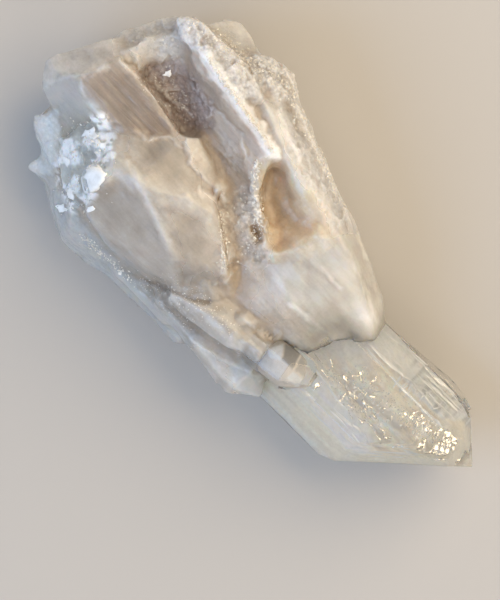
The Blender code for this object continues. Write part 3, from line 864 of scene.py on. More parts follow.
def from_grid(name, points):
    """A mesh from rings of points, (rings, around, 3): quads between neighbours and a cap at both ends."""
    rings, around, _ = points.shape
    i, j = np.meshgrid(np.arange(rings - 1), np.arange(around), indexing="ij")
    k = (j + 1) % around
    corners = [i * around + j, i * around + k, (i + 1) * around + k, (i + 1) * around + j]
    faces = np.stack(corners, 2).reshape(-1, 4).tolist()
    caps = [list(range(around))[::-1], list(range((rings - 1) * around, rings * around))]
    mesh = bpy.data.meshes.new(name)
    mesh.from_pydata(points.reshape(-1, 3).tolist(), [], faces + caps)
    bm = bmesh.new()
    bm.from_mesh(mesh)
    bmesh.ops.recalc_face_normals(bm, faces=bm.faces)
    bm.to_mesh(mesh)
    bm.free()
    smooth(mesh)
    return mesh


def tree_of(piece):
    """A search tree over a piece's faces."""
    bm = bmesh.new()
    bm.from_mesh(piece.data)
    found = BVHTree.FromBMesh(bm)
    bm.free()
    return found


def kept_inside(glass, points, depth):
    """Points that stand less than a depth inside a surface are pushed back in along its normal."""
    kept = points.copy()
    for k, p in enumerate(points):
        spot, normal, _, _ = glass.find_nearest(Vector(p))
        if (Vector(p) - spot).dot(normal) > -depth:
            kept[k] = spot - normal * depth
    return kept


# %% Clouds


def cloud_rings(crystal, start, stop, depths, slope, rings, around):
    """Rings around a crystal's axis: each ray stops at the nearest of the six sides, less that side's depth,
    or at one more slope, given by its turn from the top and its distance from the axis. A power curve draws
    the last rings together. Depths are given for the start and for the end."""
    axis, outs, far = six_sides(**CRYSTALS[crystal])
    outs, axis = np.array(outs), np.array(axis)
    sideways = np.cross(axis, outs[0])
    v = np.linspace(0, 2 * np.pi, around, endpoint=False)
    ways = np.cos(v)[:, None] * outs[0] + np.sin(v)[:, None] * sideways
    turn = np.radians(slope[0])
    extra = np.cos(turn) * outs[0] + np.sin(turn) * sideways
    facing = np.clip(ways @ np.vstack([outs, extra]).T, 0.02, 1)
    u = np.linspace(0, 1, rings)[:, None]
    first, last = np.array(depths[0]), np.array(depths[1])
    sunk = first + (last - first) * ramp_up(u, 0.1, 0.4)
    planes = np.hstack([np.array(far) / MM - sunk, np.full((rings, 1), slope[1])])
    reach = (planes[:, None] / facing[None]).min(2)
    reach = reach * np.clip(1 - u ** 9, 0, 1) ** 0.5
    middle = np.array(CRYSTALS[crystal]["start"]) + (start + (stop - start) * u)[..., None] * axis * MM
    return middle + reach[..., None] * ways[None] * MM


def cloud_of(name, crystal, start, stop, depths, slope, rings, around, lumps, skin):
    """A cloud: its rings, lumps drawn out along the axis, and everything kept inside the glass."""
    grid = cloud_rings(crystal, start, stop, depths, slope, rings, around)
    flat = grid.reshape(-1, 3)
    axis = unit(np.array(CRYSTALS[crystal]["end"] - CRYSTALS[crystal]["start"]))
    centre = np.array(CRYSTALS[crystal]["start"]) + distance_along(crystal, flat)[:, None] * axis * MM
    away = (flat - centre) / (np.linalg.norm(flat - centre, axis=1, keepdims=True) + 1e-9)
    drawn = flat * np.array([0.4, 1, 1])
    rough = 1.2 * waves(drawn, 6, 60) + 0.6 * waves(drawn, 2.5, 61) + 0.3 * waves(drawn, 1.0, 62)
    above = 0.15 + 0.85 * ramp_up(away[:, 2], 0.7, 0.95)
    flat = flat + away * (lumps * above * rough * MM)[:, None]
    flat = kept_inside(glass, flat, skin * MM)
    flat[:, 2] = np.maximum(flat[:, 2], 0.8 * MM)
    return new_piece(name, from_grid(name, flat.reshape(grid.shape)))


glass = tree_of(point)
# millimetres under each side, at the cloud's start and at its end
LARGE_DEPTHS = [(0.7, 0.4, 0.3, 2, 0.6, 0.5), (5.0, 0.4, 0.3, 2, 0.6, 0.6)]
RIDER_DEPTHS = [(0.4,) * 6, (1.0,) * 6]
cloud_piece = cloud_of("inner_cloud", "large", 38, 91, LARGE_DEPTHS, slope=(28, 8.4), rings=210, around=220,
                       lumps=1.0, skin=0.25)
rider_cloud = cloud_of("rider_cloud", "rider", 15.5, 32, RIDER_DEPTHS, slope=(0, 9), rings=60, around=60,
                       lumps=0.1, skin=0.7)
print("clouds:", len(cloud_piece.data.polygons), "and", len(rider_cloud.data.polygons), "faces")

# %% Tints of the clouds
# tint, strength, border in millimetres, outline on the sheet
MISTS_AND_PAINTED_LIGHT = {
    # the foot is paler as painted light, where the root's lip shades the cloud
    "foot": ((0.96, 0.91, 0.84), 1.0, 3.5, [(66, 66), (96, 66), (98, 84), (92, 91), (80, 92), (66, 86)]),
    # the left face and the band along its edge are paler as painted light, for the warm light that shines
    # through the crystal
    "left": ((0.98, 0.94, 0.84), 1.0, 1.5, [(62, 94), (79, 92), (93, 112), (87, 117), (60, 104)]),
    "left edge": ((0.98, 0.97, 0.94), 0.9, 1.6, [(78, 95), (80.5, 94), (92, 107), (95, 112), (90, 113)]),
    "right": ((0.93, 0.97, 0.98), 1.0, 0.8, [
        (91, 86), (97, 80), (120, 100), (121, 108), (109.5, 106), (105, 101.5)]),
    "tip": ((0.86, 0.84, 0.77), 0.9, 1.5, [(109, 106), (118, 107), (121, 120), (112, 117)]),
    "low": ((0.98, 0.93, 0.81), 0.9, 1.0, [(87, 112), (100, 111.6), (110, 114), (112, 119), (84, 117)]),
}
GROUND_MIST = (0.94, 0.87, 0.76)
BRIGHTEST = 0.98                 # no mist throws back more light than this


def cloud_tint(points):
    """A cloud's tint: ground colour, mists (some painted light) laid over it, mottled, streaked along the
    axis.
    """
    east, south = strayed(points, broad=(0.6, 5), fine=(0.25, 1.5), seed=90)
    tint = np.tile(GROUND_MIST, (len(points), 1))
    streaks = np.clip(waves(points * np.array([0.12, 1, 1]), 1.6, 94, 2), -1, 1)
    mottle = np.clip(waves(points * np.array([0.5, 1, 1]), 2.6, 95, 3), -1, 1)
    tint = tint * (1 + 0.16 * mottle + 0.10 * streaks)[:, None]
    for colour, strength, border, outline in MISTS_AND_PAINTED_LIGHT.values():
        share = strength * patch(east, south, outline, border)[:, None]
        tint = tint + share * (np.array(colour) - tint)
    steps = waves(points * np.array([1, 0.10, 0.10]), 1.5, 96, 3)
    dark = np.clip(-steps * 1.4 - 0.1, 0, 1) * ramp_up(points[:, 0] / MM, 38, 50)
    tint = tint * (1 - 0.30 * patch(east, south, MISTS_AND_PAINTED_LIGHT["right"][-1], 0.8) * dark)[:, None]
    return tint * (1 + 0.10 * patch(east, south, MISTS_AND_PAINTED_LIGHT["left"][-1], 2) * streaks)[:, None]


painted(cloud_piece.data, "tint", opaque(cloud_tint(places(cloud_piece.data)[0]), BRIGHTEST))
print("mists over the large cloud:", len(MISTS_AND_PAINTED_LIGHT))

# %% Painted light and shade on the rider's facets
# tint and outline on the sheet of the rider's facets: the pale ones are painted light, the dark ones painted
# shade
FACET_LIGHT_AND_SHADE = [
    ((0.93, 0.96, 0.98), [(66.8, 87.6), (70.8, 86.2), (70.2, 90), (67.6, 89.4)]),
    ((0.30, 0.30, 0.30), [(71.2, 86.4), (75.2, 88.4), (73, 92.2), (70.6, 90)]),
    ((0.42, 0.42, 0.42), [(75.4, 89), (79.5, 93), (77.6, 95), (73.6, 92.4)]),
    ((0.92, 0.94, 0.94), [(73.2, 92.8), (76.8, 95.4), (75.4, 97.2), (71.6, 94.4)]),
    ((0.36, 0.34, 0.32), [(69.5, 96.8), (76.5, 96.6), (75.5, 98.4), (70, 98.4)]),
]
points, _ = places(rider_cloud.data)
paler = ramp_up(distance_along("rider", points), 17, 25)[:, None] * 0.08
tint = np.array(PALETTE["milk"]) + paler
tint = tint * (1 + 0.12 * waves(points, 2, 97, 2)[:, None])
# lit and shaded facets painted into the rider's cloud
for colour, outline in FACET_LIGHT_AND_SHADE:
    tint += 0.9 * patch(*sheet_of(points), outline, 0.3)[:, None] * (np.array(colour) - tint)
painted(rider_cloud.data, "tint", opaque(tint, BRIGHTEST))
print("windows in the rider:", len(FACET_LIGHT_AND_SHADE))

# %% [markdown]
# ## Healed cracks inside
# Above the cloud the crystal has old cracks that healed into swarms of tiny bubbles, a few fresh ones near
# the tip that shine like foil, and silky veils under its faces and along its edges. A swarm is many small
# flattened eight-sided grains strewn under the faces that look up; a crack and a veil are thin bent lenses.
# All are closed shapes wholly inside the glass, and each is turned as it flashes brightest from above: like a
# mirror that throws one of the lights straight up through the face over it.

# %% Mirrors inside the glass
QUARTZ = 1.544                             # refractive index
WARM_WINDOW = (0.8, 0.6, 1.1)              # where the lights stand: shares of right, top and up
WARM_WALL = (0.5, -0.85, 0.75)
COOL_WINDOW = (-0.9, -0.4, 0.9)
warm_way, wall_way = np.array(picture_way(*WARM_WINDOW)), np.array(picture_way(*WARM_WALL))


def bent(way, normals):
    """The direction inside the glass of a direction outside, by Snell's law at faces with these normals."""
    facing = (normals * way).sum(1, keepdims=True)
    return way / QUARTZ + (np.sqrt(1 - (1 - facing ** 2) / QUARTZ ** 2) - facing / QUARTZ) * normals


def flashing(normals):
    """Normals of mirrors inside the glass that throw light straight up through faces like these: the warm
    window's light, or the lit wall's where a face looks away from the window."""
    lights = np.where((normals @ warm_way > 0.1)[:, None], warm_way, wall_way)
    return unit(bent(np.array((0.0, 0.0, 1.0)), normals) + bent(lights, normals))


# %% Grains
GRAIN = np.array([(1, 0, 0), (0, 1, 0), (-1, 0, 0), (0, -1, 0), (0, 0, 1), (0, 0, -1)], float)
GRAIN_FACES = np.array([(0, 1, 4), (1, 2, 4), (2, 3, 4), (3, 0, 4),
                        (1, 0, 5), (2, 1, 5), (3, 2, 5), (0, 3, 5)])


def grains(centres, sizes, normals, draw, flat=0.3, stretch=(0.7, 1.6), turn=(0, 180)):
    """Points and faces of many grains: the eight-sided grain flattened along its normal, drawn out by a
    random stretch and turned about the normal by a random number of degrees round a mean."""
    helper = np.where(np.abs(normals[:, 2:3]) < 0.9, (0, 0, 1), (1, 0, 0))
    first = unit(np.cross(normals, helper))
    second = np.cross(normals, first)
    angle = np.radians(turn[0] + turn[1] * draw.uniform(-1, 1, (len(centres), 1)))
    side = (first * np.cos(angle) + second * np.sin(angle)) * draw.uniform(*stretch, (len(centres), 1))
    other = second * np.cos(angle) - first * np.sin(angle)
    jitter = GRAIN[None] * draw.uniform(0.6, 1.3, (len(centres), 6, 1))
    points = centres[:, None] + sizes[:, None, None] * (
        jitter[:, :, :1] * side[:, None] + jitter[:, :, 1:2] * other[:, None]
        + flat * jitter[:, :, 2:] * normals[:, None])
    faces = GRAIN_FACES[None] + 6 * np.arange(len(centres))[:, None, None]
    return points.reshape(-1, 3), faces.reshape(-1, 3)


def strewn(name, batches):
    """One piece from batches of grains."""
    shift = np.cumsum([0] + [len(points) for points, _ in batches])
    faces = np.vstack([f + k for (_, f), k in zip(batches, shift)])
    mesh = bpy.data.meshes.new(name)
    mesh.from_pydata(np.vstack([p for p, _ in batches]).tolist(), [], faces.tolist())
    mesh.update()
    print(name, "faces:", len(faces))
    return new_piece(name, mesh)


def dropped(tree, east, south):
    """Where plumb lines from above meet a surface, and the surface's normals there; misses are left out."""
    hits = [tree.ray_cast(on_sheet(e, s, 100), Vector((0, 0, -1))) for e, s in zip(east, south)]
    hits = [(spot, normal) for spot, normal, index, _ in hits if index is not None]
    return np.array([h[0] for h in hits]), np.array([h[1] for h in hits])


def round_a_route(route, count, spread, draw):
    """Random places on the sheet round a route: a random leg by its length, and a bell curve across."""
    route = np.array(route, float)
    legs = np.diff(route, axis=0)
    lengths = np.hypot(*legs.T)
    leg = draw.choice(len(legs), count, p=lengths / lengths.sum())
    spots = route[leg] + legs[leg] * draw.uniform(0, 1, (count, 1)) + draw.normal(0, spread, (count, 2))
    return spots.T


# %% Swarms of bubbles
# depth under the face, spread, size, count, stretch, turn and its range, route on the sheet
SWARMS = [
    (2.0, 1.6, 0.13, 420, (0.7, 1.6), (0, 180), [(81, 92), (88, 97), (96, 107)]),
    (2.5, 1.2, 0.12, 300, (0.7, 1.6), (0, 180), [(90, 92), (98, 101), (106, 108)]),
    (1.5, 0.8, 0.10, 200, (0.7, 1.6), (0, 180), [(84, 98), (91, 104), (98, 110)]),
    (1.6, 1.8, 0.13, 60, (3, 8), (90, 30), [(84, 94), (92, 101), (101, 109)]),
    (1.2, 1.2, 0.11, 50, (3, 9), (90, 20), [(93, 92), (100, 100), (104, 104)]),
    (1.8, 1.6, 0.16, 420, (0.6, 2.4), (0, 180), [(103, 104), (107, 108), (111, 111)]),
    (1.4, 0.7, 0.13, 160, (0.8, 3.0), (90, 60), [(103, 106), (105, 110), (108, 114)]),
]
draw = np.random.default_rng(11)
batches = []
for depth, spread, size, count, stretch, turn, route in SWARMS:
    spots, faces_up = dropped(glass, *round_a_route(route, count, spread, draw))
    spots[:, 2] -= depth * draw.uniform(0.5, 1.3, len(spots)) * MM
    spots = kept_inside(glass, spots, 0.7 * MM)
    sizes = size * draw.lognormal(0, 0.5, len(spots)).clip(0.4, 2.5) * MM
    sizes = sizes / np.sqrt(np.mean(stretch))
    tilts = unit(draw.normal(0, 0.10, (len(spots), 3)) + flashing(faces_up))
    batches.append(grains(spots, sizes, tilts, draw, flat=0.25, stretch=stretch, turn=turn))
swarm = strewn("bubble_swarms", batches)

# %% Fresh cracks
# middle on the sheet, depth under the face, half length, half width, turn from east against the clock
CRACKS = [
    (110.6, 111.4, 2.0, 3.2, 2.2, 30), (112.2, 109.4, 2.2, 2.4, 1.4, -30), (113.0, 111.4, 2.6, 1.2, 0.8, 70),
    (105.2, 111.6, 2.0, 2.4, 0.9, 80), (108.2, 112.4, 2.6, 1.8, 0.7, 10), (105.0, 105.4, 2.2, 1.9, 1.1, 50),
    (106.8, 107.2, 1.8, 1.3, 0.6, -30), (103.2, 104.2, 2.6, 1.2, 0.5, 60), (109.4, 107.8, 2.2, 1.4, 0.6, 40),
    (99.4, 111.2, 2.0, 1.5, 0.5, 20), (79.4, 96.4, 1.6, 1.3, 0.5, 35), (90.2, 93.4, 1.8, 1.0, 0.4, 40),
    (93.6, 95.0, 2.0, 1.3, 0.35, 45), (85.6, 99.6, 2.4, 1.5, 0.3, 50), (91.3, 102.4, 2.2, 1.2, 0.35, 30),
    (110.4, 114.6, 1.8, 1.6, 0.5, 0), (114.6, 115.4, 1.6, 0.9, 0.4, 60), (101.4, 103.6, 1.8, 1.0, 0.4, 45),
]


def crack_points(half_long, half_wide, turn, mirror, seed, rings, around):
    """A thin lens bent like a shell, square to the mirror's normal: rings from the middle of one side over
    the rim to the middle of the other, with a wavy outline and ripples that flash in turn."""
    r = np.concatenate([np.linspace(0.04, 1, rings), np.linspace(0.98, 0.04, rings)])[:, None]
    face = np.concatenate([np.ones(rings), -np.ones(rings)])[:, None]
    v = np.linspace(0, 2 * np.pi, around, endpoint=False)[None, :]
    edge = 1 + 0.22 * np.sin(3 * v + seed) + 0.12 * np.sin(7 * v + 2 * seed)
    a, b = half_long * r * edge * np.cos(v), half_wide * r * edge * np.sin(v)
    bend, ripple = 0.03 * (a * a + b * b) / half_long, 0.08 * np.sin(2.9 * a + seed) * np.cos(2.3 * b)
    c = bend + ripple + face * 0.05 * (1 - r * r)
    long = np.array(east_way * np.cos(np.radians(turn)) + north_way * np.sin(np.radians(turn)))
    wide = unit(np.cross(mirror, long))
    return np.stack([a, b, c], 2) @ np.array([np.cross(wide, mirror), wide, mirror]) * MM


def lenses(rows):
    """Meshes of cracks from their place, depth, half length, half width, turn, rings, points around and the
    sway of their mirrors. Each is square to the mirror that flashes there, and is kept inside the glass."""
    meshes = []
    for k, (east, south, depth, *shape, rings, around, sway) in enumerate(rows):
        middle, face_up = dropped(glass, [east], [south])
        if len(middle):
            mirror = unit(flashing(face_up)[0] + draw.normal(0, sway, 3))
            shell = crack_points(*shape, mirror, k, rings, around) + middle - np.array((0, 0, depth * MM))
            shell = kept_inside(glass, shell.reshape(-1, 3), 0.3 * MM).reshape(shell.shape)
            meshes.append(from_grid("crack", shell))
    return meshes


def sown(rows, rings=5, around=12, sway=0.07):
    """Rows for lenses strewn round routes: narrow ones keep to their turn, wide ones stray from it."""
    for count, spread, long, wide, depth, turn, route in rows:
        for east, south in round_a_route(route, count, spread, draw).T:
            reach = long * draw.uniform(0.4, 1.8)
            yield (east, south, depth * draw.uniform(0.7, 1.4), reach, reach * wide * draw.uniform(0.5, 1.6),
                   turn + draw.normal(0, 25 if wide > 0.15 else 5), rings, around, sway)


# count, spread, half length, half width as a share of it, depth, turn, route on the sheet
SPLINTERS = [
    (34, 1.7, 0.8, 0.18, 2, -45, [(81, 92), (88, 97), (96, 105)]),
    (16, 1.2, 0.6, 0.18, 2, 40, [(86, 95), (93, 100), (101, 106)]),
    (30, 1.5, 0.5, 0.2, 2, 70, [(101, 104), (106, 108), (112, 112)]),
    (14, 1.0, 0.7, 0.18, 2, -40, [(84, 99), (92, 106), (99, 111)]),
]
LARGE_NET, SWAY = (13, 36), 0.07           # rings and points around of the large cracks, and their sway
draw = np.random.default_rng(12)
cracks = lenses([(*row, *LARGE_NET, SWAY) for row in CRACKS] + list(sown(SPLINTERS)))

# %% Silky veils
# as the splinters: under the left face, the low face and the right strip, and along the edges between faces
VEILS = [
    (9, 1.4, 2.0, 0.07, 1.0, -44, [(76, 96), (84, 103), (90, 110)]),
    (4, 1.2, 2.4, 0.06, 1.0, -44, [(76, 101), (86, 110)]),
    (10, 0.6, 2.2, 0.10, 0.8, -6, [(92, 113.4), (98, 113), (107, 115.8)]),
    (20, 1.0, 1.7, 0.11, 0.8, 48, [(100, 94), (106, 98.5), (113, 104)]),
    (22, 0.9, 3.6, 0.07, 0.9, -45, [(95, 87), (103, 95), (111, 102)]),
    (18, 0.8, 3.4, 0.08, 0.9, -45, [(98, 85), (106, 92.5), (114.5, 101)]),
    (16, 0.12, 1.6, 0.09, 0.6, -54, [(79.6, 93.4), (86, 102.2), (92.2, 110.8)]),
    (16, 0.12, 1.8, 0.09, 0.6, -47, [(92.4, 88.2), (99, 95.5), (106, 102.8)]),
    (10, 0.12, 1.4, 0.09, 0.6, -40, [(106, 102.8), (110, 106)]),
    (9, 0.12, 1.5, 0.09, 0.6, 0, [(86.4, 112.2), (93, 111.4), (100, 111.6)]),
    (8, 0.12, 1.5, 0.09, 0.6, -28, [(100, 111.6), (108.4, 115.8)]),
]
veils = lenses(sown(VEILS, rings=7, around=16, sway=0.05))


def joined(name, meshes):
    """One piece from several meshes."""
    bm = bmesh.new()
    for mesh in meshes:
        bm.from_mesh(mesh)
        bpy.data.meshes.remove(mesh)
    whole = bpy.data.meshes.new(name)
    bm.to_mesh(whole)
    bm.free()
    smooth(whole)
    return new_piece(name, whole)


cracks, veils = joined("fresh_cracks", cracks), joined("silky_veils", veils)
print("fresh cracks:", len(cracks.data.polygons), "faces, silky veils:", len(veils.data.polygons))

# %% [markdown]
# ## Crumbs and flakes
# Where crystals grew against each other or broke, small bright crumbs of quartz are left, and on one side of
# the root thin white flakes lie like snow. Both are closed shapes half sunk into the surface below them.

# %% Crumbs on the root
# spread, size, count, route on the sheet
CRUMBS = [
    (0.6, 0.16, 260, [(55.8, 53), (56.3, 62.5), (55.5, 68)]),
    (0.5, 0.20, 240, [(64.5, 40.8), (63.3, 45), (64.5, 55.5)]),
    (0.5, 0.18, 160, [(20, 58.7), (26, 64), (32.5, 70)]),
    (1.6, 0.10, 240, [(40, 71), (50, 76), (58, 83)]),
    (2.8, 0.18, 260, [(18, 33), (24, 38), (18, 49)]),
    (1.4, 0.18, 600, [(53, 8), (64, 17), (74, 24), (77, 33)]),
    (0.9, 0.16, 400, [(77, 33), (82, 43), (87, 52)]),
    (1.8, 0.12, 260, [(38, 19), (44, 24), (47, 29)]),
    (1.2, 0.16, 300, [(46, 5), (55, 11), (62, 19)]),
    (1.3, 0.12, 200, [(32, 11), (38, 10), (44, 11)]),
    (0.35, 0.22, 260, [(52, 15), (57.5, 23), (66, 34.5), (68.2, 38.6)]),
    (1.2, 0.10, 120, [(34, 70), (42, 76), (48, 82)]),
    (1.4, 0.14, 260, [(61, 49), (64, 56), (62, 64)]),
]
rock = tree_of(root)
batches = []
for spread, size, count, route in CRUMBS:
    spots, normals = dropped(rock, *round_a_route(route, count, spread, draw))
    sizes = size * draw.lognormal(0, 0.45, len(spots)).clip(0.4, 2.2) * MM
    tilts = unit(normals + draw.normal(0, 0.35, (len(spots), 3)))
    batches.append(grains(spots, sizes, tilts, draw, flat=0.6, stretch=(0.8, 1.8)))
crumbs = strewn("crumbs", batches)

# %% White flakes
# middle on the sheet, size across, turn; the last one's outline is drawn
FLAKES = [
    (22.6, 33.4, 4.6, 160), (26.0, 36.6, 2.6, 120), (16.6, 40.4, 2.6, 60), (17.6, 48.2, 3.2, 70),
    (22.8, 52.4, 2.6, 160), (15.2, 52.0, 3.6, 30), (42.0, 18.6, 2.4, 165),
]
MAIN_FLAKE = [
    (20.2, 44.5), (21.9, 42.4), (23.3, 40.9), (24.8, 41.4), (25.9, 42.4), (27.2, 43.7),
    (26.4, 45.4), (24.9, 47.7), (23.8, 48.0), (22.5, 48.7), (21.2, 48.4), (20.7, 47.2),
]


def ragged(size, turn, draw, corners=11):
    """An outline on the sheet round nothing: an oval whose radius jumps from corner to corner."""
    v = np.linspace(0, 2 * np.pi, corners, endpoint=False)
    reach = size / 2 * draw.uniform(0.5, 1.35, corners)
    x, y = reach * np.cos(v), 0.65 * reach * np.sin(v)
    c, s = np.cos(np.radians(turn)), np.sin(np.radians(turn))
    return np.stack([x * c - y * s, x * s + y * c], 1)


def flake(outline, draw, thick=0.16):
    """A thin plate that lies on the root: the outline as a sunk rim and a raised one, then drawn together in
    three rings that rise a little towards the middle."""
    outline = np.array(outline)
    middle = outline.mean(0)
    rings = []
    for share, rise in ((1.0, -0.6), (1.0, 0.5), (0.8, 1.0), (0.5, 1.1), (0.2, 1.2)):
        spots, _ = dropped(rock, *(middle + share * (outline - middle)).T)
        if len(spots) < len(outline):
            return None
        spots[:, 2] += (rise * thick + 0.03 * draw.normal(size=len(spots))) * MM
        rings.append(spots)
    return from_grid("flake", np.array(rings))


plates = [flake(np.array(middle) + ragged(size, turn, draw), draw) for *middle, size, turn in FLAKES]
plates = [mesh for mesh in plates + [flake(MAIN_FLAKE, draw, thick=0.4)] if mesh]
flakes = joined("white_flakes", plates)
print("flakes:", len(plates), "with", len(flakes.data.polygons), "faces")

# %% [markdown]
# ## Materials
# Milky quartz scatters light inside, so it has subsurface light a few millimetres deep; its gloss comes from
# quartz's refractive index and its roughness from the frost of each region. Clear quartz is true transmission
# with a faint warm absorption, and no value of it is linked, so that the export carries it as glass. Bubbles,
# cracks, veils, crumbs and flakes need no more than two tints mixed by fine noise.

# %% Node helpers


def new_material(name):
    """A material with its Principled shader and a function that adds and wires nodes."""
    material = bpy.data.materials.new(name)
    material.use_nodes = True
    tree = material.node_tree
    shader = tree.nodes["Principled BSDF"]

    def add(kind, *links, **values):
        made = tree.nodes.new("ShaderNode" + kind)
        for key, value in values.items():
            if hasattr(made, key):
                setattr(made, key, value)
            else:
                made.inputs[key.replace("_", " ").title()].default_value = value
        for socket, source in links:
            tree.links.new(source, made.inputs[socket])
        return made

    return material, tree, shader, add


def absorbing(tree, add, colour, density):
    """Gives a material's inside a colour that deepens with the way light goes through it."""
    absorb = add("VolumeAbsorption")
    absorb.inputs["Color"].default_value = (*colour, 1)
    absorb.inputs["Density"].default_value = density
    output = next(n for n in tree.nodes if n.type == "OUTPUT_MATERIAL")
    tree.links.new(absorb.outputs[0], output.inputs["Volume"])


def speckled(name, piece, scale, detail, dark, light, span=(0, 1), **values):
    """Puts on a piece a material whose colour runs from a dark to a light tint with fine noise."""
    material, tree, shader, add = new_material(name)
    place = add("TexCoord").outputs["Object"]
    noise = add("TexNoise", ("Vector", place), scale=scale, detail=detail)
    ramp = add("ValToRGB", ("Fac", noise.outputs[0]))
    for end, position, colour in zip(ramp.color_ramp.elements, span, (dark, light)):
        end.position, end.color = position, (*colour, 1)
    tree.links.new(ramp.outputs[0], shader.inputs["Base Color"])
    for socket, value in values.items():
        shader.inputs[socket].default_value = value
    piece.data.materials.append(material)
    print("finish of", piece.name + ":", name)


# %% Milky quartz
milky, tree, shader, add = new_material("milky_quartz")
place = add("TexCoord").outputs["Object"]
tint_of = add("Attribute", attribute_name="tint")
finish_of = add("Attribute", attribute_name="finish")
columns = add("SeparateColor", ("Color", finish_of.outputs["Color"]))
frost, grit, clear = (columns.outputs[k] for k in ("Red", "Green", "Blue"))
growth = finish_of.outputs["Alpha"]
cloud = add("TexNoise", ("Vector", place), scale=260, detail=4, roughness=0.6)
knobs = add("TexVoronoi", ("Vector", place), scale=900)
grain = add("TexNoise", ("Vector", place), scale=1500, detail=3, roughness=0.7)
turned = add("Mapping", ("Vector", place))
turned.inputs["Rotation"].default_value = (0, 0, np.radians(8))
turned.inputs["Scale"].default_value = (0.06, 1, 0.5)
streak = add("TexNoise", ("Vector", turned.outputs[0]), scale=1100, detail=2, roughness=0.6)


def math(operation, a, b, c=None):
    """A Math node: two or three numbers or sockets."""
    made = add("Math", operation=operation)
    for k, value in enumerate((a, b, c)):
        if isinstance(value, (int, float)):
            made.inputs[k].default_value = value
        elif value is not None:
            tree.links.new(value, made.inputs[k])
    return made.outputs[0]


mottle = math("MULTIPLY_ADD", math("SUBTRACT", cloud.outputs[0], 0.5), 0.35, 1.0)
speckle = math("MULTIPLY", math("SUBTRACT", grain.outputs[0], 0.5), math("MULTIPLY_ADD", grit, 0.5, 0.20))
lined = math("MULTIPLY", math("SUBTRACT", streak.outputs[0], 0.5), math("MULTIPLY_ADD", growth, 0.4, 0.16))
# the crust's colour is darker in the gaps between its knobs: painted shade
pits = math("MULTIPLY", knobs.outputs["Distance"], math("MULTIPLY", grit, grit))
value = math("MULTIPLY_ADD", pits, -0.55, math("ADD", math("ADD", mottle, speckle), lined))
shade = add("VectorMath", (0, tint_of.outputs["Color"]), operation="SCALE")
tree.links.new(value, shade.inputs["Scale"])
tree.links.new(shade.outputs[0], shader.inputs["Base Color"])
tree.links.new(math("MULTIPLY_ADD", frost, 0.4, 0.08), shader.inputs["Roughness"])
tree.links.new(clear, shader.inputs["Transmission Weight"])
shader.inputs["IOR"].default_value = QUARTZ
shader.inputs["Subsurface Weight"].default_value = 0.9
shader.inputs["Subsurface Scale"].default_value = 1.0
shader.inputs["Subsurface Radius"].default_value = (0.0080, 0.0066, 0.0052)
relief = math("MULTIPLY", grain.outputs[0], math("MULTIPLY_ADD", grit, 1.0, 0.1))
relief = math("ADD", relief, math("MULTIPLY", streak.outputs[0], growth))
relief = math("MULTIPLY_ADD", pits, -1.2, relief)
bump = add("Bump", ("Height", relief), strength=0.5, distance=0.0004)
tree.links.new(bump.outputs[0], shader.inputs["Normal"])
absorbing(tree, add, (0.82, 0.76, 0.68), 15.0)
root.data.materials.clear()
root.data.materials.append(milky)

# %% Clear quartz
glassy, tree, shader, add = new_material("clear_quartz")
shader.inputs["Base Color"].default_value = (1, 1, 1, 1)
shader.inputs["Transmission Weight"].default_value = 1.0
shader.inputs["IOR"].default_value = QUARTZ
shader.inputs["Roughness"].default_value = 0.03
absorbing(tree, add, (0.92, 0.90, 0.85), 8.0)
point.data.materials.clear()
point.data.materials.append(glassy)

# %% Clouds of bubbles
misty, tree, shader, add = new_material("misty_quartz")
place = add("TexCoord").outputs["Object"]
tint_of = add("Attribute", attribute_name="tint")
noise = add("TexNoise", ("Vector", place), scale=900, detail=4, roughness=0.7)
factor = add("MapRange", ("Value", noise.outputs[0]))
for key, number in (("From Min", 0.3), ("From Max", 0.7), ("To Min", 0.88), ("To Max", 1.05)):
    factor.inputs[key].default_value = number
shade = add("VectorMath", (0, tint_of.outputs["Color"]), operation="SCALE")
tree.links.new(factor.outputs[0], shade.inputs["Scale"])
tree.links.new(shade.outputs[0], shader.inputs["Base Color"])
shader.inputs["Roughness"].default_value = 0.6
shader.inputs["Subsurface Weight"].default_value = 1.0
shader.inputs["Subsurface Scale"].default_value = 1.0
shader.inputs["Subsurface Radius"].default_value = (0.010, 0.009, 0.0075)
for piece in (cloud_piece, rider_cloud):
    piece.data.materials.append(misty)

# %% Bubbles, cracks and veils
speckled("silvery_bubbles", swarm, 700, 2, (0.86, 0.80, 0.70), (0.98, 0.97, 0.94), (0.35, 0.6),
         Metallic=0.3, Roughness=0.2)
speckled("crack_foil", cracks, 900, 3, (0.86, 0.80, 0.66), (0.98, 0.98, 0.96), Metallic=0.85, Roughness=0.22)
speckled("silky_veil", veils, 600, 3, (0.86, 0.89, 0.91), (0.96, 0.98, 1.0), Metallic=0.6, Roughness=0.48)

# %% Crumbs and flakes
speckled("snowy_quartz", flakes, 500, 4, (0.82, 0.82, 0.80), (0.95, 0.96, 0.96), (0.35, 0.6),
         Roughness=0.35, IOR=QUARTZ)
speckled("crumbly_quartz", crumbs, 700, 2, (0.60, 0.56, 0.49), (0.84, 0.82, 0.77), (0.35, 0.65),
         Roughness=0.15, IOR=QUARTZ)

# %% [markdown]
# ## Floor and light
# A plain pale floor, a large warm window on one side of the stone and a large cool one on the other, with a
# warm, lit wall below. The stone lies between them, so its shadows are soft: bluish where the warm light is
# hidden, ochre where the cool one is.

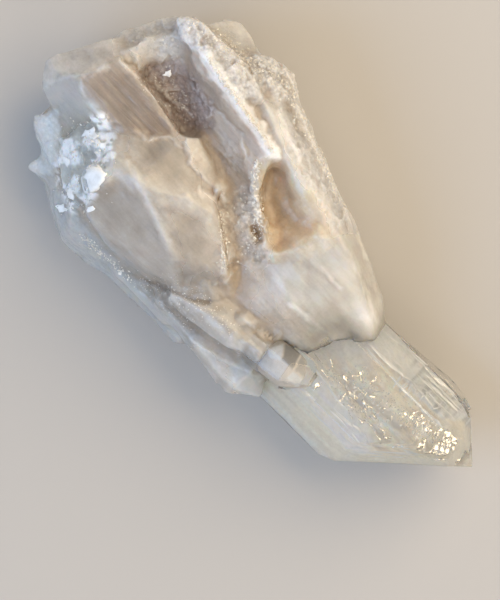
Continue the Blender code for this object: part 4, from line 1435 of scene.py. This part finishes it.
# %% Floor
FLOOR = 4.0                      # half its side
floor_mesh = bpy.data.meshes.new("floor")
corners = [(-FLOOR, -FLOOR, 0), (FLOOR, -FLOOR, 0), (FLOOR, FLOOR, 0), (-FLOOR, FLOOR, 0)]
floor_mesh.from_pydata(corners, [], [(0, 1, 2, 3)])
floor = new_piece("floor", floor_mesh)
pale, tree, shader, add = new_material("pale_floor")
shader.inputs["Base Color"].default_value = (0.48, 0.463, 0.443, 1)
shader.inputs["Roughness"].default_value = 0.9
floor_mesh.materials.append(pale)
floor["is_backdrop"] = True

# %% Lights


def area_light(name, way, distance, size, power, colour):
    """A square light at a distance in a picture way, turned to the stone's middle."""
    light = bpy.data.lights.new(name, "AREA")
    light.size, light.energy, light.color = size, power, colour
    lamp = bpy.data.objects.new(name, light)
    bpy.context.scene.collection.objects.link(lamp)
    aim = picture_way(*way)
    lamp.location = aim * distance
    lamp.rotation_euler = aim.to_track_quat("Z", "Y").to_euler()


area_light("warm_window", WARM_WINDOW, 0.75, 0.7, 5.5, (1.0, 0.80, 0.54))
area_light("warm_wall", WARM_WALL, 1.5, 1.0, 7.4, (1.0, 0.82, 0.58))
area_light("cool_window", COOL_WINDOW, 1.6, 1.3, 16.5, (0.45, 0.66, 1.0))
print("lights:", [lamp.name for lamp in bpy.data.lights])

# %% Light from all round
world = bpy.data.worlds.new("room")
bpy.context.scene.world = world
world.use_nodes = True
background = world.node_tree.nodes["Background"]
background.inputs["Color"].default_value = (0.98, 0.99, 1.0, 1)
background.inputs["Strength"].default_value = 0.41
bpy.context.scene.view_settings.view_transform = "Standard"

# %% [markdown]
# ## The pieces on the body
# Every piece rides on the stone's only body and stands for its solid.

# %% Attach the pieces
PIECES = [root, point, cloud_piece, rider_cloud, swarm, cracks, veils, crumbs, flakes]
for piece in PIECES:
    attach(piece, "root")
    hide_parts("quartz_cluster")

low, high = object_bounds()
sizes = {"cad": [[float(v) for v in cad_low], [float(v) for v in cad_high]],
         "visual": [[float(v) for v in low], [float(v) for v in high]]}
print("dressed box, mm:", [round(v / MM, 1) for v in high - low])
